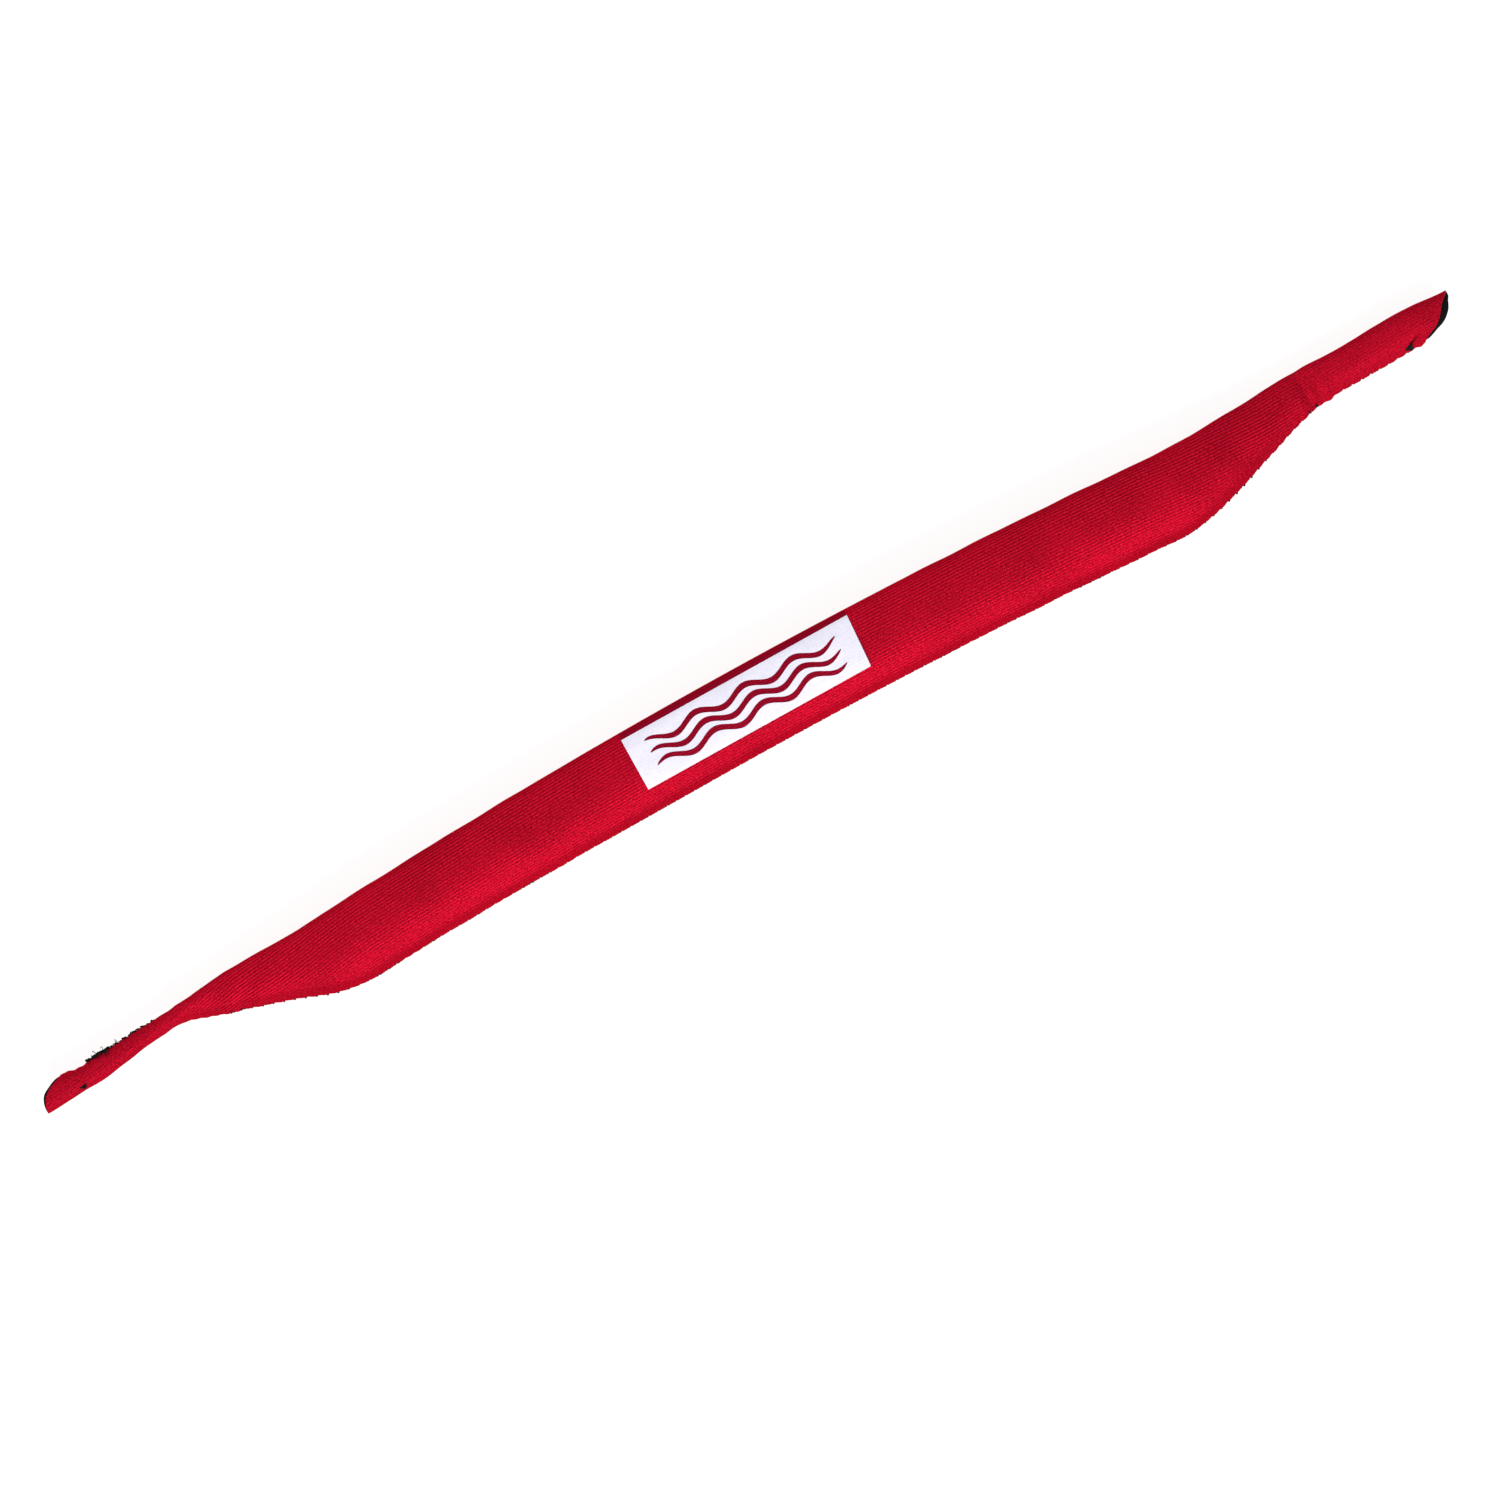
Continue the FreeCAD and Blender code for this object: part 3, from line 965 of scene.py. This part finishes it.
class Grower:
    """Builds one Geometry Nodes tree, node by node."""

    def __init__(self, name: str, sizes: dict[str, float]) -> None:
        """Start a tree with a geometry input and a named input for each size."""
        self.tree = bpy.data.node_groups.new(name, "GeometryNodeTree")
        face = self.tree.interface
        face.new_socket("Geometry", in_out="INPUT", socket_type="NodeSocketGeometry")
        face.new_socket("Geometry", in_out="OUTPUT", socket_type="NodeSocketGeometry")
        for label, value in sizes.items():
            whole = isinstance(value, int)
            kind = "NodeSocketInt" if whole else "NodeSocketFloat"
            face.new_socket(label, in_out="INPUT", socket_type=kind).default_value = value
        self.start = self.tree.nodes.new("NodeGroupInput")
        self.end = self.tree.nodes.new("NodeGroupOutput")

    def node(self, kind: str, settings: dict[str, Any], inputs: dict[Any, Any]) -> bpy.types.Node:
        """Add a node, set its properties, then feed its inputs."""
        made = self.tree.nodes.new(kind)
        for name, value in settings.items():
            setattr(made, name, value)
        for name, value in inputs.items():
            socket = made.inputs[name]
            if isinstance(value, bpy.types.NodeSocket):
                self.tree.links.new(value, socket)
            else:
                socket.default_value = value
        return made

    def size(self, label: str) -> bpy.types.NodeSocket:
        """Output of a named input."""
        return self.start.outputs[label]

    def math(self, operation: str, first: Any, second: Any = 0.0) -> bpy.types.NodeSocket:
        """Result of a Math node on two numbers or sockets."""
        made = self.node("ShaderNodeMath", {"operation": operation}, {0: first, 1: second})
        return made.outputs[0]

    def times(self, first: Any, second: Any) -> bpy.types.NodeSocket:
        """Product of two numbers or sockets."""
        return self.math("MULTIPLY", first, second)

    def carried(self, label: str, kind: str = "FLOAT_VECTOR") -> bpy.types.NodeSocket:
        """What the mesh carries under a label."""
        settings = {"data_type": kind}
        return self.node("GeometryNodeInputNamedAttribute", settings, {"Name": label}).outputs[0]

    def close(self, geometry: bpy.types.NodeSocket, material: bpy.types.Material,
              *others: tuple[bpy.types.NodeSocket, bpy.types.Material]) -> None:
        """End the tree: realize the instances, then set the materials.

        Args:
            geometry: What the tree made.
            material: Material of all of it.
            others: Selections of it that get another material.
        """
        last = self.node("GeometryNodeRealizeInstances", {}, {0: geometry}).outputs[0]
        for selection, other in ((True, material), *others):
            dressed = {"Geometry": last, "Selection": selection, "Material": other}
            last = self.node("GeometryNodeSetMaterial", {}, dressed).outputs[0]
        self.tree.links.new(last, self.end.inputs[0])

    def vector(self, x: Any, y: Any, z: Any) -> bpy.types.NodeSocket:
        """Vector from three numbers or sockets."""
        return self.node("ShaderNodeCombineXYZ", {}, {0: x, 1: y, 2: z}).outputs[0]

    def grow(self, carrier: bpy.types.Object, sizes: dict[str, float]) -> None:
        """Run the tree on a carrier, and give it the result as a plain mesh.

        Args:
            carrier: Object whose points carry what the tree makes.
            sizes: Values of the named inputs.
        """
        modifier = carrier.modifiers.new(self.tree.name, "NODES")
        modifier.node_group = self.tree
        for item in self.tree.interface.items_tree:
            if item.in_out == "INPUT" and item.name in sizes:
                modifier[item.identifier] = sizes[item.name]
        seen = carrier.evaluated_get(bpy.context.evaluated_depsgraph_get())
        made, before = bpy.data.meshes.new_from_object(seen), carrier.data
        carrier.modifiers.remove(modifier)
        carrier.data = made
        bpy.data.meshes.remove(before)
        made.name = carrier.name


class Ribbing:
    """Ribs of the knit: shallow furrows in its face that run parallel to the fold."""

    SIZES = {"Rib Pitch": 0.79 * MM, "Rib Depth": 0.045 * MM}
    SHARP = 55.0

    def __init__(self, knit: bpy.types.Material, edge: bpy.types.Material) -> None:
        """Build the tree that presses the furrows in, for a knit and its cut edge."""
        grower = self.grower = Grower("knit_ribs", self.SIZES)
        over = grower.node("ShaderNodeSeparateXYZ", {}, {0: grower.carried("cloth")}).outputs[1]
        share = grower.math("DIVIDE", over, grower.size("Rib Pitch"))
        wave = grower.math("COSINE", grower.times(share, TURN))
        furrow = grower.times(grower.math("SUBTRACT", wave, 1.0), 0.5)
        depth = grower.times(furrow, grower.size("Rib Depth"))
        shift = grower.node("ShaderNodeVectorMath", {"operation": "SCALE"},
                            {0: grower.carried("outward"), "Scale": depth})
        pressed = grower.node("GeometryNodeSetPosition", {}, {
            "Geometry": grower.start.outputs["Geometry"], "Offset": shift.outputs[0],
        })
        grower.close(pressed.outputs[0], knit, (grower.carried("rim", "BOOLEAN"), edge))

    def press(self, piece: bpy.types.Object) -> None:
        """Press the ribs into a piece of knit."""
        self.grower.grow(piece, self.SIZES)
        MeshShop.unmark(piece)
        piece.data.set_sharp_from_angle(angle=math.radians(self.SHARP))


class Stitching:
    """Thread that crosses the closed edge, one pair of legs at each point of a carrier."""

    SIZES = {"Pitch": 2.64 * MM, "Reach": 1.3 * MM, "Wrap": 0.4 * MM, "Thread Radius": 0.19 * MM,
             "Unevenness": 0.12, "Seed": 7}
    BOW = 1.5
    LEG_STEPS = 8
    THREAD_SIDES = 6
    SHARP = 50.0

    def __init__(self, thread: bpy.types.Material) -> None:
        """Build the tree that makes the stitches in that thread."""
        grower = self.grower = Grower("zigzag_stitches", self.SIZES)
        pitch, reach, wrap = (grower.size(n) for n in ("Pitch", "Reach", "Wrap"))
        below = grower.times(wrap, -1.0)
        both = grower.node("GeometryNodeJoinGeometry", {}, {})
        for way in (-1.0, 1.0):
            start = grower.vector(grower.times(pitch, 0.5 * way), grower.times(reach, -1.0), below)
            middle = grower.vector(grower.times(pitch, 0.25 * way), 0.0,
                                   grower.times(wrap, self.BOW))
            leg = grower.node("GeometryNodeCurveQuadraticBezier", {}, {
                "Resolution": self.LEG_STEPS, "Start": start, "Middle": middle,
                "End": grower.vector(0.0, reach, below),
            })
            grower.tree.links.new(leg.outputs[0], both.inputs[0])
        profile = grower.node("GeometryNodeCurvePrimitiveCircle", {}, {
            "Resolution": self.THREAD_SIDES, "Radius": grower.size("Thread Radius"),
        })
        stitch = grower.node("GeometryNodeCurveToMesh", {}, {
            "Curve": both.outputs[0], "Profile Curve": profile.outputs[0], "Fill Caps": True,
        })
        points = grower.node("GeometryNodeMeshToPoints", {},
                             {"Mesh": grower.start.outputs["Geometry"]})
        turn = grower.node("FunctionNodeAxesToRotation",
                           {"primary_axis": "Z", "secondary_axis": "X"},
                           {"Primary Axis": grower.carried("out"),
                            "Secondary Axis": grower.carried("along")})
        uneven = grower.size("Unevenness")
        random = grower.node("FunctionNodeRandomValue", {"data_type": "FLOAT"}, {
            2: grower.math("SUBTRACT", 1.0, uneven), 3: grower.math("ADD", 1.0, uneven),
            "Seed": grower.size("Seed"),
        })
        placed = grower.node("GeometryNodeInstanceOnPoints", {}, {
            "Points": points.outputs[0], "Instance": stitch.outputs[0],
            "Rotation": turn.outputs[0],
            "Scale": grower.vector(1.0, random.outputs[1], random.outputs[1]),
        })
        grower.close(placed.outputs[0], thread)

    def sew(self, name: str, points: np.ndarray, out: np.ndarray, along: np.ndarray,
            sizes: dict[str, float]) -> bpy.types.Object:
        """Sew stitches at points.

        Args:
            name: Name of the piece.
            points: Where the stitches cross the edge, in metres.
            out: Outward direction at each point.
            along: Direction of the seam at each point.
            sizes: Sizes that differ from the usual ones.

        Returns:
            The piece.
        """
        mesh = bpy.data.meshes.new(name)
        mesh.from_pydata(points.tolist(), [], [])
        carrier = bpy.data.objects.new(name, mesh)
        bpy.context.scene.collection.objects.link(carrier)
        MeshShop.mark(carrier, "out", out)
        MeshShop.mark(carrier, "along", along)
        self.grower.grow(carrier, {**self.SIZES, **sizes})
        made = carrier.data
        made.polygons.foreach_set("use_smooth", np.ones(len(made.polygons), bool))
        made.set_sharp_from_angle(angle=math.radians(self.SHARP))
        return carrier


# Sub-assemblies


@dataclass(frozen=True)
class Length:
    """One length of the cover, with the two bodies that it bends between."""

    name: str
    start: float
    end: float
    inner: str
    outer: str
    bend: tuple[float, float]

    def fix(self, piece: bpy.types.Object) -> None:
        """Make a piece of this length follow its body when it has only one; a piece between two bodies
        only has its transform baked.
        """
        if self.inner == self.outer:
            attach(piece, self.inner)
            return
        start, end = ((x * MM, 0, 0) for x in self.bend)
        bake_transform(piece)
        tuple(start)
        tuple(end)


def lengths() -> Iterator[Length]:
    """The nine lengths of the strap, split where it doesn't bend."""
    yield Length("centre", -33.5, 33.5, "centre", "centre", (0, 0))
    marks = [
        ("inner", 33.5, 80.0, (34.0, 76.0)),
        ("outer", 80.0, 123.0, (84.0, 122.0)),
        ("neck", 123.0, 152.5, (127.0, 152.0)),
        ("sleeve", 152.5, 205.0, (153.0, 182.0)),
    ]
    nearer = {"left": "centre", "right": "centre"}
    for name, near, far, bend in marks:
        left, right = f"left_{name}", f"right_{name}"
        yield Length(left, -far, -near, nearer["left"], left, (-bend[0], -bend[1]))
        yield Length(right, near, far, nearer["right"], right, bend)
        nearer = {"left": left, "right": right}


@dataclass
class Cover:
    """The folded strip: its knit face and the neoprene laminated behind it."""

    form: StrapForm
    wardrobe: Wardrobe
    rib: float = 0.79
    spacing: float = 0.44
    plain_spacing: float = 2.0
    backing_rows: int = 6
    seam_smooth: tuple[float, float] = (0.2, 1.2)
    lining_gap: float = 0.06
    knit_set_back: float = 2.1
    lining_set_back: float = 0.9

    def __post_init__(self) -> None:
        """Build the tree of the ribs."""
        self.ribbing = Ribbing(self.wardrobe.knit, self.wardrobe.cut)

    def stations(self, length: Length, spacing: float) -> np.ndarray:
        """Distances of the rings of a length."""
        count = round((length.end - length.start) / spacing) + 1
        return np.linspace(length.start, length.end, count)

    def knit(self, length: Length) -> None:
        """Make the knit face of one length."""
        stations = self.stations(length, self.spacing)
        outer = self.form.skin(stations, self.rib / 4, 0.0, Relief.PUCKERS, self.knit_set_back)
        area = outer.area()
        over = np.abs(outer.cloth[..., 1])
        seam = over.max(axis=1, keepdims=True) - over
        inner = outer.inward(self.form.knit).thinned(self.backing_rows)
        outer.outward *= ease(seam / MM, *self.seam_smooth)[..., None]
        name = f"knit_face_{length.name}"
        piece = MeshShop.shell(name, outer, inner, [self.wardrobe.knit, self.wardrobe.cut], 1)
        self.ribbing.press(piece)
        self.declare(piece, length, outer, area, f"knit_{length.name}")

    def neoprene(self, length: Length) -> None:
        """Make the neoprene and its lining of one length."""
        spacing = self.spacing if length.name.endswith("sleeve") else self.plain_spacing
        stations = self.stations(length, spacing)
        inset = self.form.knit + self.lining_gap
        outer = self.form.skin(stations, self.rib / 2, inset, Relief.FOLDS, self.lining_set_back)
        inner = outer.inward(self.form.wall - inset)
        name = f"neoprene_lining_{length.name}"
        piece = MeshShop.shell(name, outer, inner, [self.wardrobe.neoprene], 0)
        MeshShop.unmark(piece)
        node = f"neoprene_{length.name}"
        self.declare(piece, length, outer, outer.area(), node)

    def declare(self, piece: bpy.types.Object, length: Length, skin: Skin, area: float, node: str) -> None:
        """Hide the CAD part that a layer replaces, fix the layer to its length and log the size that it
        was cut to.
        """
        long = (length.end - length.start) * MM
        girth = float(np.ptp(skin.cloth[..., 1]))
        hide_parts(node)
        length.fix(piece)
        min(area, long * girth)
        LOG.info("%s: %.0f by %.0f mm", piece.name, long / MM, girth / MM)


@dataclass
class Float:
    """The foam float inside the middle of the cover."""

    form: StrapForm
    wardrobe: Wardrobe
    reach: float = 157.0
    clearance: float = 0.35
    spacing: float = 2.0
    step: float = 1.6
    least_rings: int = 3

    def core(self, length: Length) -> None:
        """Foam of one length, if the float reaches it."""
        node = f"float_{length.name}"
        low, high = max(length.start, -self.reach), min(length.end, self.reach)
        if low >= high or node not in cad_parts:
            return
        count = max(self.least_rings, round((high - low) / self.spacing))
        inset = self.form.wall + self.clearance
        skin = self.form.skin(np.linspace(low, high, count), self.step, inset, Relief.PLAIN)
        piece = MeshShop.plug(f"foam_core_{length.name}", skin, self.wardrobe.foam)
        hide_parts(node)
        length.fix(piece)
        LOG.info("%s", piece.name)


@dataclass
class Seam:
    """The black zigzag that closes the edge, and the bar tacks that lock its ends."""

    form: StrapForm
    wardrobe: Wardrobe
    end: float = 189.0
    to_back: float = 0.75
    clear_of_cut: float = 0.1
    first_seed: int = 3
    tack_past_end: float = 0.9
    tack_length: float = 1.8
    tack_pitch: float = 0.3
    tack_to_back: float = -1.2
    thread: dict[str, dict[str, float]] = field(
        default_factory=lambda: {
            "neck": {"Reach": 0.9 * MM, "Wrap": 0.9 * MM, "Thread Radius": 0.21 * MM},
            "sleeve": {"Reach": 0.85 * MM, "Wrap": 0.95 * MM, "Thread Radius": 0.24 * MM,
                       "Unevenness": 0.2},
            "tack": {"Pitch": 0.3 * MM, "Reach": 1.1 * MM, "Wrap": 0.55 * MM,
                     "Thread Radius": 0.22 * MM, "Unevenness": 0.25, "Seed": 11},
        }
    )

    def __post_init__(self) -> None:
        """Build the stitching tree."""
        self.stitching = Stitching(self.wardrobe.thread)

    def edge(self, xs: np.ndarray, offset: float) -> tuple[np.ndarray, np.ndarray, np.ndarray]:
        """Points on the sewn edge, with their outward and lengthwise directions.

        Args:
            xs: Distances along the strap.
            offset: Distance over the surface from the seam towards the back.

        Returns:
            Points in metres, outward directions and directions along the seam.
        """
        points, out = [], []
        for x in xs:
            half = self.form.outline(x, 0.0).half
            over = offset - half if offset >= 0 else half + offset
            ring = self.form.ring(x, np.array([over]), 0.0, Relief.PUCKERS)
            points.append([x, *ring.points[0]])
            out.append([0.0, *ring.outward[0]])
        places = np.array(points)
        along = np.gradient(places, axis=0)
        along /= np.linalg.norm(along, axis=1, keepdims=True)
        return places * MM, np.array(out), along

    def zigzag(self, length: Length) -> None:
        """Stitches of one length."""
        pitch = self.form.stitch_pitch
        low, high = max(length.start, -self.end), min(length.end, self.end)
        first = math.ceil((low + self.clear_of_cut) / pitch - 0.5)
        last = math.floor((high - self.clear_of_cut) / pitch - 0.5)
        xs = (np.arange(first, last + 1) + 0.5) * pitch
        points, out, ahead = self.edge(xs, self.to_back)
        kind = length.name.split("_")[-1]
        sizes = {"Seed": self.first_seed + len(xs), **self.thread.get(kind, {})}
        piece = self.stitching.sew(f"zigzag_{length.name}", points, out, ahead, sizes)
        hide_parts(f"seam_thread_{length.name}")
        length.fix(piece)
        LOG.info("%s: %d stitches", piece.name, len(xs))

    def tack(self, side: Side) -> None:
        """Bar tack at one end of the seam."""
        centre = side.value * (self.end + self.tack_past_end)
        xs = centre + np.arange(-self.tack_length / 2, self.tack_length / 2, self.tack_pitch)
        points, out, ahead = self.edge(xs, self.tack_to_back)
        name = side.name.lower()
        piece = self.stitching.sew(f"tack_{name}", points, out, ahead, self.thread["tack"])
        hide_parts(f"bar_tack_{name}")
        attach(piece, f"{name}_sleeve")
        LOG.info("%s", piece.name)


@dataclass(frozen=True)
class Tuft:
    """Loose thread ends that are alike: how many, where they start, their sizes and their lift."""

    count: int
    span: tuple[float, float]
    reach: tuple[float, float]
    radius: tuple[float, float]
    lift: float


@dataclass
class Tails:
    """Loose thread ends at the left end of the seam, and the knot pulled through beside them."""

    form: StrapForm
    wardrobe: Wardrobe
    seed: int = 21
    tufts: tuple[Tuft, ...] = (
        Tuft(44, (-190.0, -183.4), (0.8, 1.6), (0.13, 0.20), 0.30),
        Tuft(20, (-183.0, -170.0), (0.5, 1.0), (0.12, 0.18), 0.25),
        Tuft(2, (-181.6, -180.4), (0.5, 0.8), (0.07, 0.09), 1.3),
        Tuft(3, (-188.5, -185.0), (0.8, 1.2), (0.07, 0.09), 0.9),
    )
    roots: tuple[float, float] = (-0.5, 1.5)
    spread: float = 0.5
    unevenness: tuple[float, float] = (0.7, 1.3)
    steps: int = 10
    knot_at: tuple[float, float] = (-193.5, -3.4)
    knot_size: float = 0.27
    knot_shape: tuple[float, float, float] = (1.25, 0.6, 1.0)
    knot_radius: float = 0.2

    def curls(self) -> Iterator[tuple[np.ndarray, float]]:
        """Paths and radii of the loose ends, in millimetres."""
        random = np.random.default_rng(self.seed)
        steps = np.linspace(0, 1, self.steps)[:, None]
        for tuft in self.tufts:
            for _ in range(tuft.count):
                x = random.uniform(*tuft.span)
                over = random.uniform(*self.roots) - self.form.outline(x, 0.0).half
                ring = self.form.ring(x, np.array([over]), 0.0, Relief.PUCKERS)
                out = np.array([0.0, *ring.outward[0]])
                flat = np.cross(out, random.normal(0, 1.0, 3))
                flat *= random.uniform(*tuft.reach) / np.linalg.norm(flat)
                curl = np.cross(out, flat) * random.normal(0, self.spread) * np.sin(steps * math.pi)
                rise = out * tuft.lift * np.sin(steps * 2.3) * random.uniform(*self.unevenness)
                path = np.array([x, *ring.points[0]]) + flat * (steps - 0.3) + curl + rise
                yield path, random.uniform(*tuft.radius)

    def knot(self) -> np.ndarray:
        """Path of the knot, in millimetres."""
        x, y = self.knot_at
        over = np.linspace(-12.0, 12.0, 121)
        ring = self.form.ring(x, over, 0.0, Relief.PUCKERS)
        top = ring.points[ring.points[:, 1] > self.form.middle(x)[1]]
        z = top[np.abs(top[:, 0] - y).argmin(), 1]
        turn = np.linspace(0, TURN, 49)
        shape = np.stack([np.sin(turn) + 2 * np.sin(2 * turn), np.cos(turn) - 2 * np.cos(2 * turn),
                          -np.sin(3 * turn)], axis=1)
        return np.array([x, y, z]) + shape * self.knot_size * self.knot_shape

    def make(self) -> None:
        """Lay the loose ends and the knot, and fix them to the left sleeve."""
        points, faces, first = [], [], 0
        for path, radius in [*self.curls(), (self.knot(), self.knot_radius)]:
            tube, quads = MeshShop.tube(path * MM, radius * MM)
            points.append(tube)
            faces += [[first + corner for corner in quad] for quad in quads]
            first += len(tube)
        piece = MeshShop.put("thread_tails_left", np.concatenate(points), faces, None,
                             [self.wardrobe.thread])
        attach(piece, "left_sleeve")
        LOG.info("%s", piece.name)


@dataclass
class Badge:
    """White film printed on the face, with a plain wave pattern left open in it."""

    form: StrapForm
    wardrobe: Wardrobe
    length: float = 65.0
    width: float = 14.2
    film: float = 0.12
    lift: float = 0.03
    lean: float = 0.9
    waves: int = 3
    wave_length: float = 14.0
    wave_height: float = 1.15
    wave_gap: float = 3.1
    wave_weight: float = 1.6
    wave_reach: float = 27.5
    wave_offset: float = 0.5
    wave_taper: int = 6
    columns: int = 520
    rows: int = 9
    face_points: int = 129

    def edges(self, x: np.ndarray) -> list[np.ndarray]:
        """Lower and upper limits across the badge of each band of film at x."""
        half = self.width / 2
        limits = [np.full_like(x, -half)]
        for number in range(self.waves):
            middle = (number - (self.waves - 1) / 2) * self.wave_gap
            phase = TURN * x / self.wave_length + self.wave_offset * number
            middle = middle + self.wave_height * np.sin(phase)
            share = np.clip(np.abs(x) / self.wave_reach, 0.0, 1.0)
            weight = self.wave_weight / 2 * np.sqrt(1.0 - share ** self.wave_taper)
            limits += [middle - weight, middle + weight]
        return [*limits, np.full_like(x, half)]

    def lay(self, x: np.ndarray, y: np.ndarray, lift: float) -> np.ndarray:
        """Points of the face at x and y, lifted off it."""
        points = np.zeros((*x.shape, 3))
        for row in range(x.shape[0]):
            place = float(x[row, 0])
            over = np.linspace(self.form.outline(place, 0.0).half, 0.0, self.face_points)
            face = self.form.ring(place, over, 0.0, Relief.PUCKERS).points
            points[row, :, 1] = y[row]
            points[row, :, 2] = np.interp(y[row], face[:, 0], face[:, 1]) + lift
        points[..., 0] = x
        return points * MM

    def make(self) -> None:
        """Build the film and print it on the middle length."""
        xs = np.linspace(-self.length / 2, self.length / 2, self.columns + 1)
        limits = self.edges(xs)
        points, faces, first = [], [], 0
        for low, high in zip(limits[::2], limits[1::2]):
            share = np.linspace(0.0, 1.0, self.rows)[None, :]
            y = low[:, None] * (1 - share) + high[:, None] * share
            x = np.repeat(xs[:, None], self.rows, axis=1)
            lean = self.lean * (0.5 - y / self.width) * ease(x, 0.0, self.length / 2)
            top, under = (self.lay(x, y, lift) for lift in (self.lift + self.film, self.lift))
            for grid in (top, under):
                grid[..., 0] -= lean * MM
            band, band_faces = self.slab(top, under, first)
            points.append(band)
            faces += band_faces
            first += len(band)
        every = np.concatenate(points)
        uv = every[np.concatenate(faces)][:, :2]
        piece = MeshShop.put("badge_print", every, faces, uv, [self.wardrobe.film])
        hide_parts("badge")
        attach(piece, "centre")
        LOG.info("%s", piece.name)

    @staticmethod
    def slab(top: np.ndarray, under: np.ndarray, first: int) -> tuple[np.ndarray, list[list[int]]]:
        """Closed slab between two grids of the same size.

        Args:
            top: Upper grid of points.
            under: Lower grid of points.
            first: Number of the slab's first point.

        Returns:
            Its points and faces.
        """
        rows, columns = top.shape[:2]
        layer = rows * columns
        number = np.arange(layer).reshape(rows, columns)
        faces = []
        for grid, order in ((number, 1), (number + layer, -1)):
            corners = [grid[:-1, :-1], grid[1:, :-1], grid[1:, 1:], grid[:-1, 1:]]
            faces += np.stack(corners, axis=2).reshape(-1, 4)[:, ::order].tolist()
        loop = [*number[:, 0], *number[-1, 1:], *number[::-1, -1][1:], *number[0, ::-1][1:-1]]
        faces += [[a, a + layer, b + layer, b] for a, b in zip(loop, [*loop[1:], loop[0]])]
        points = np.concatenate([top.reshape(-1, 3), under.reshape(-1, 3)])
        return points, [[int(corner) + first for corner in face] for face in faces]


# The studio


@dataclass(frozen=True)
class SoftBox:
    """Rectangular light that faces the strap. Its place and size are in metres."""

    name: str
    place: tuple[float, float, float]
    size: tuple[float, float]
    power: float


@dataclass
class Studio:
    """Floor, lights and camera."""

    roll: float = 29.05
    target: tuple[float, float] = (-5.3, -10.8)
    distance: float = 1600.0
    frame_width: float = 380.6
    sensor: float = 36.0
    view_end: float = 10.0
    floor_reach: float = 3.0
    floor_drop: float = 0.0003
    daylight: float = 0.42
    lights: tuple[SoftBox, ...] = (
        SoftBox("key", (-0.03, -1.0, 1.03), (1.8, 0.34), 24.0),
        SoftBox("fill", (-0.4, 1.1, 1.0), (2.0, 2.0), 14.0),
    )

    def camera(self) -> None:
        """Long lens straight above, turned so that the strap rises to the right."""
        lens = bpy.data.cameras.new("camera")
        lens.sensor_width = self.sensor
        lens.lens = self.sensor * self.distance / self.frame_width
        lens.clip_end = self.view_end
        made = bpy.data.objects.new("camera", lens)
        made.location = Vector((*self.target, self.distance)) * MM
        made.rotation_euler = (0.0, 0.0, -math.radians(self.roll))
        bpy.context.scene.collection.objects.link(made)
        bpy.context.scene.camera = made

    def floor(self) -> None:
        """Plain pale floor under the strap."""
        far, low = self.floor_reach, -self.floor_drop
        points = [(-far, -far, low), (far, -far, low), (far, far, low), (-far, far, low)]
        plane = MeshShop.put("floor", points, [[0, 1, 2, 3]], None, [PlainFloor().make()])

    def light(self, box: SoftBox) -> None:
        """Hang one light."""
        lamp = bpy.data.lights.new(box.name, "AREA")
        lamp.shape = "RECTANGLE"
        lamp.size, lamp.size_y = box.size
        lamp.energy = box.power
        made = bpy.data.objects.new(box.name, lamp)
        made.location = box.place
        made.rotation_euler = (-Vector(box.place)).to_track_quat("-Z", "Y").to_euler()
        bpy.context.scene.collection.objects.link(made)

    def make(self) -> None:
        """Set up the studio."""
        scene = bpy.context.scene
        scene.view_settings.view_transform = "Standard"
        world = bpy.data.worlds.new("studio")
        world.use_nodes = True
        sky = world.node_tree.nodes["Background"]
        sky.inputs["Color"].default_value = WHITE
        sky.inputs["Strength"].default_value = self.daylight
        scene.world = world
        self.camera()
        self.floor()
        for box in self.lights:
            self.light(box)


def main() -> None:
    """Build the strap and its studio."""
    logging.basicConfig(level=logging.INFO, format="%(message)s")
    Studio().make()
    form, wardrobe = StrapForm(), Wardrobe()
    cover, core, seam = Cover(form, wardrobe), Float(form, wardrobe), Seam(form, wardrobe)
    for length in lengths():
        cover.knit(length)
        cover.neoprene(length)
        core.core(length)
        seam.zigzag(length)
    for side in Side:
        seam.tack(side)
    Tails(form, wardrobe).make()
    Badge(form, wardrobe).make()


if __name__ == "__main__":
    main()
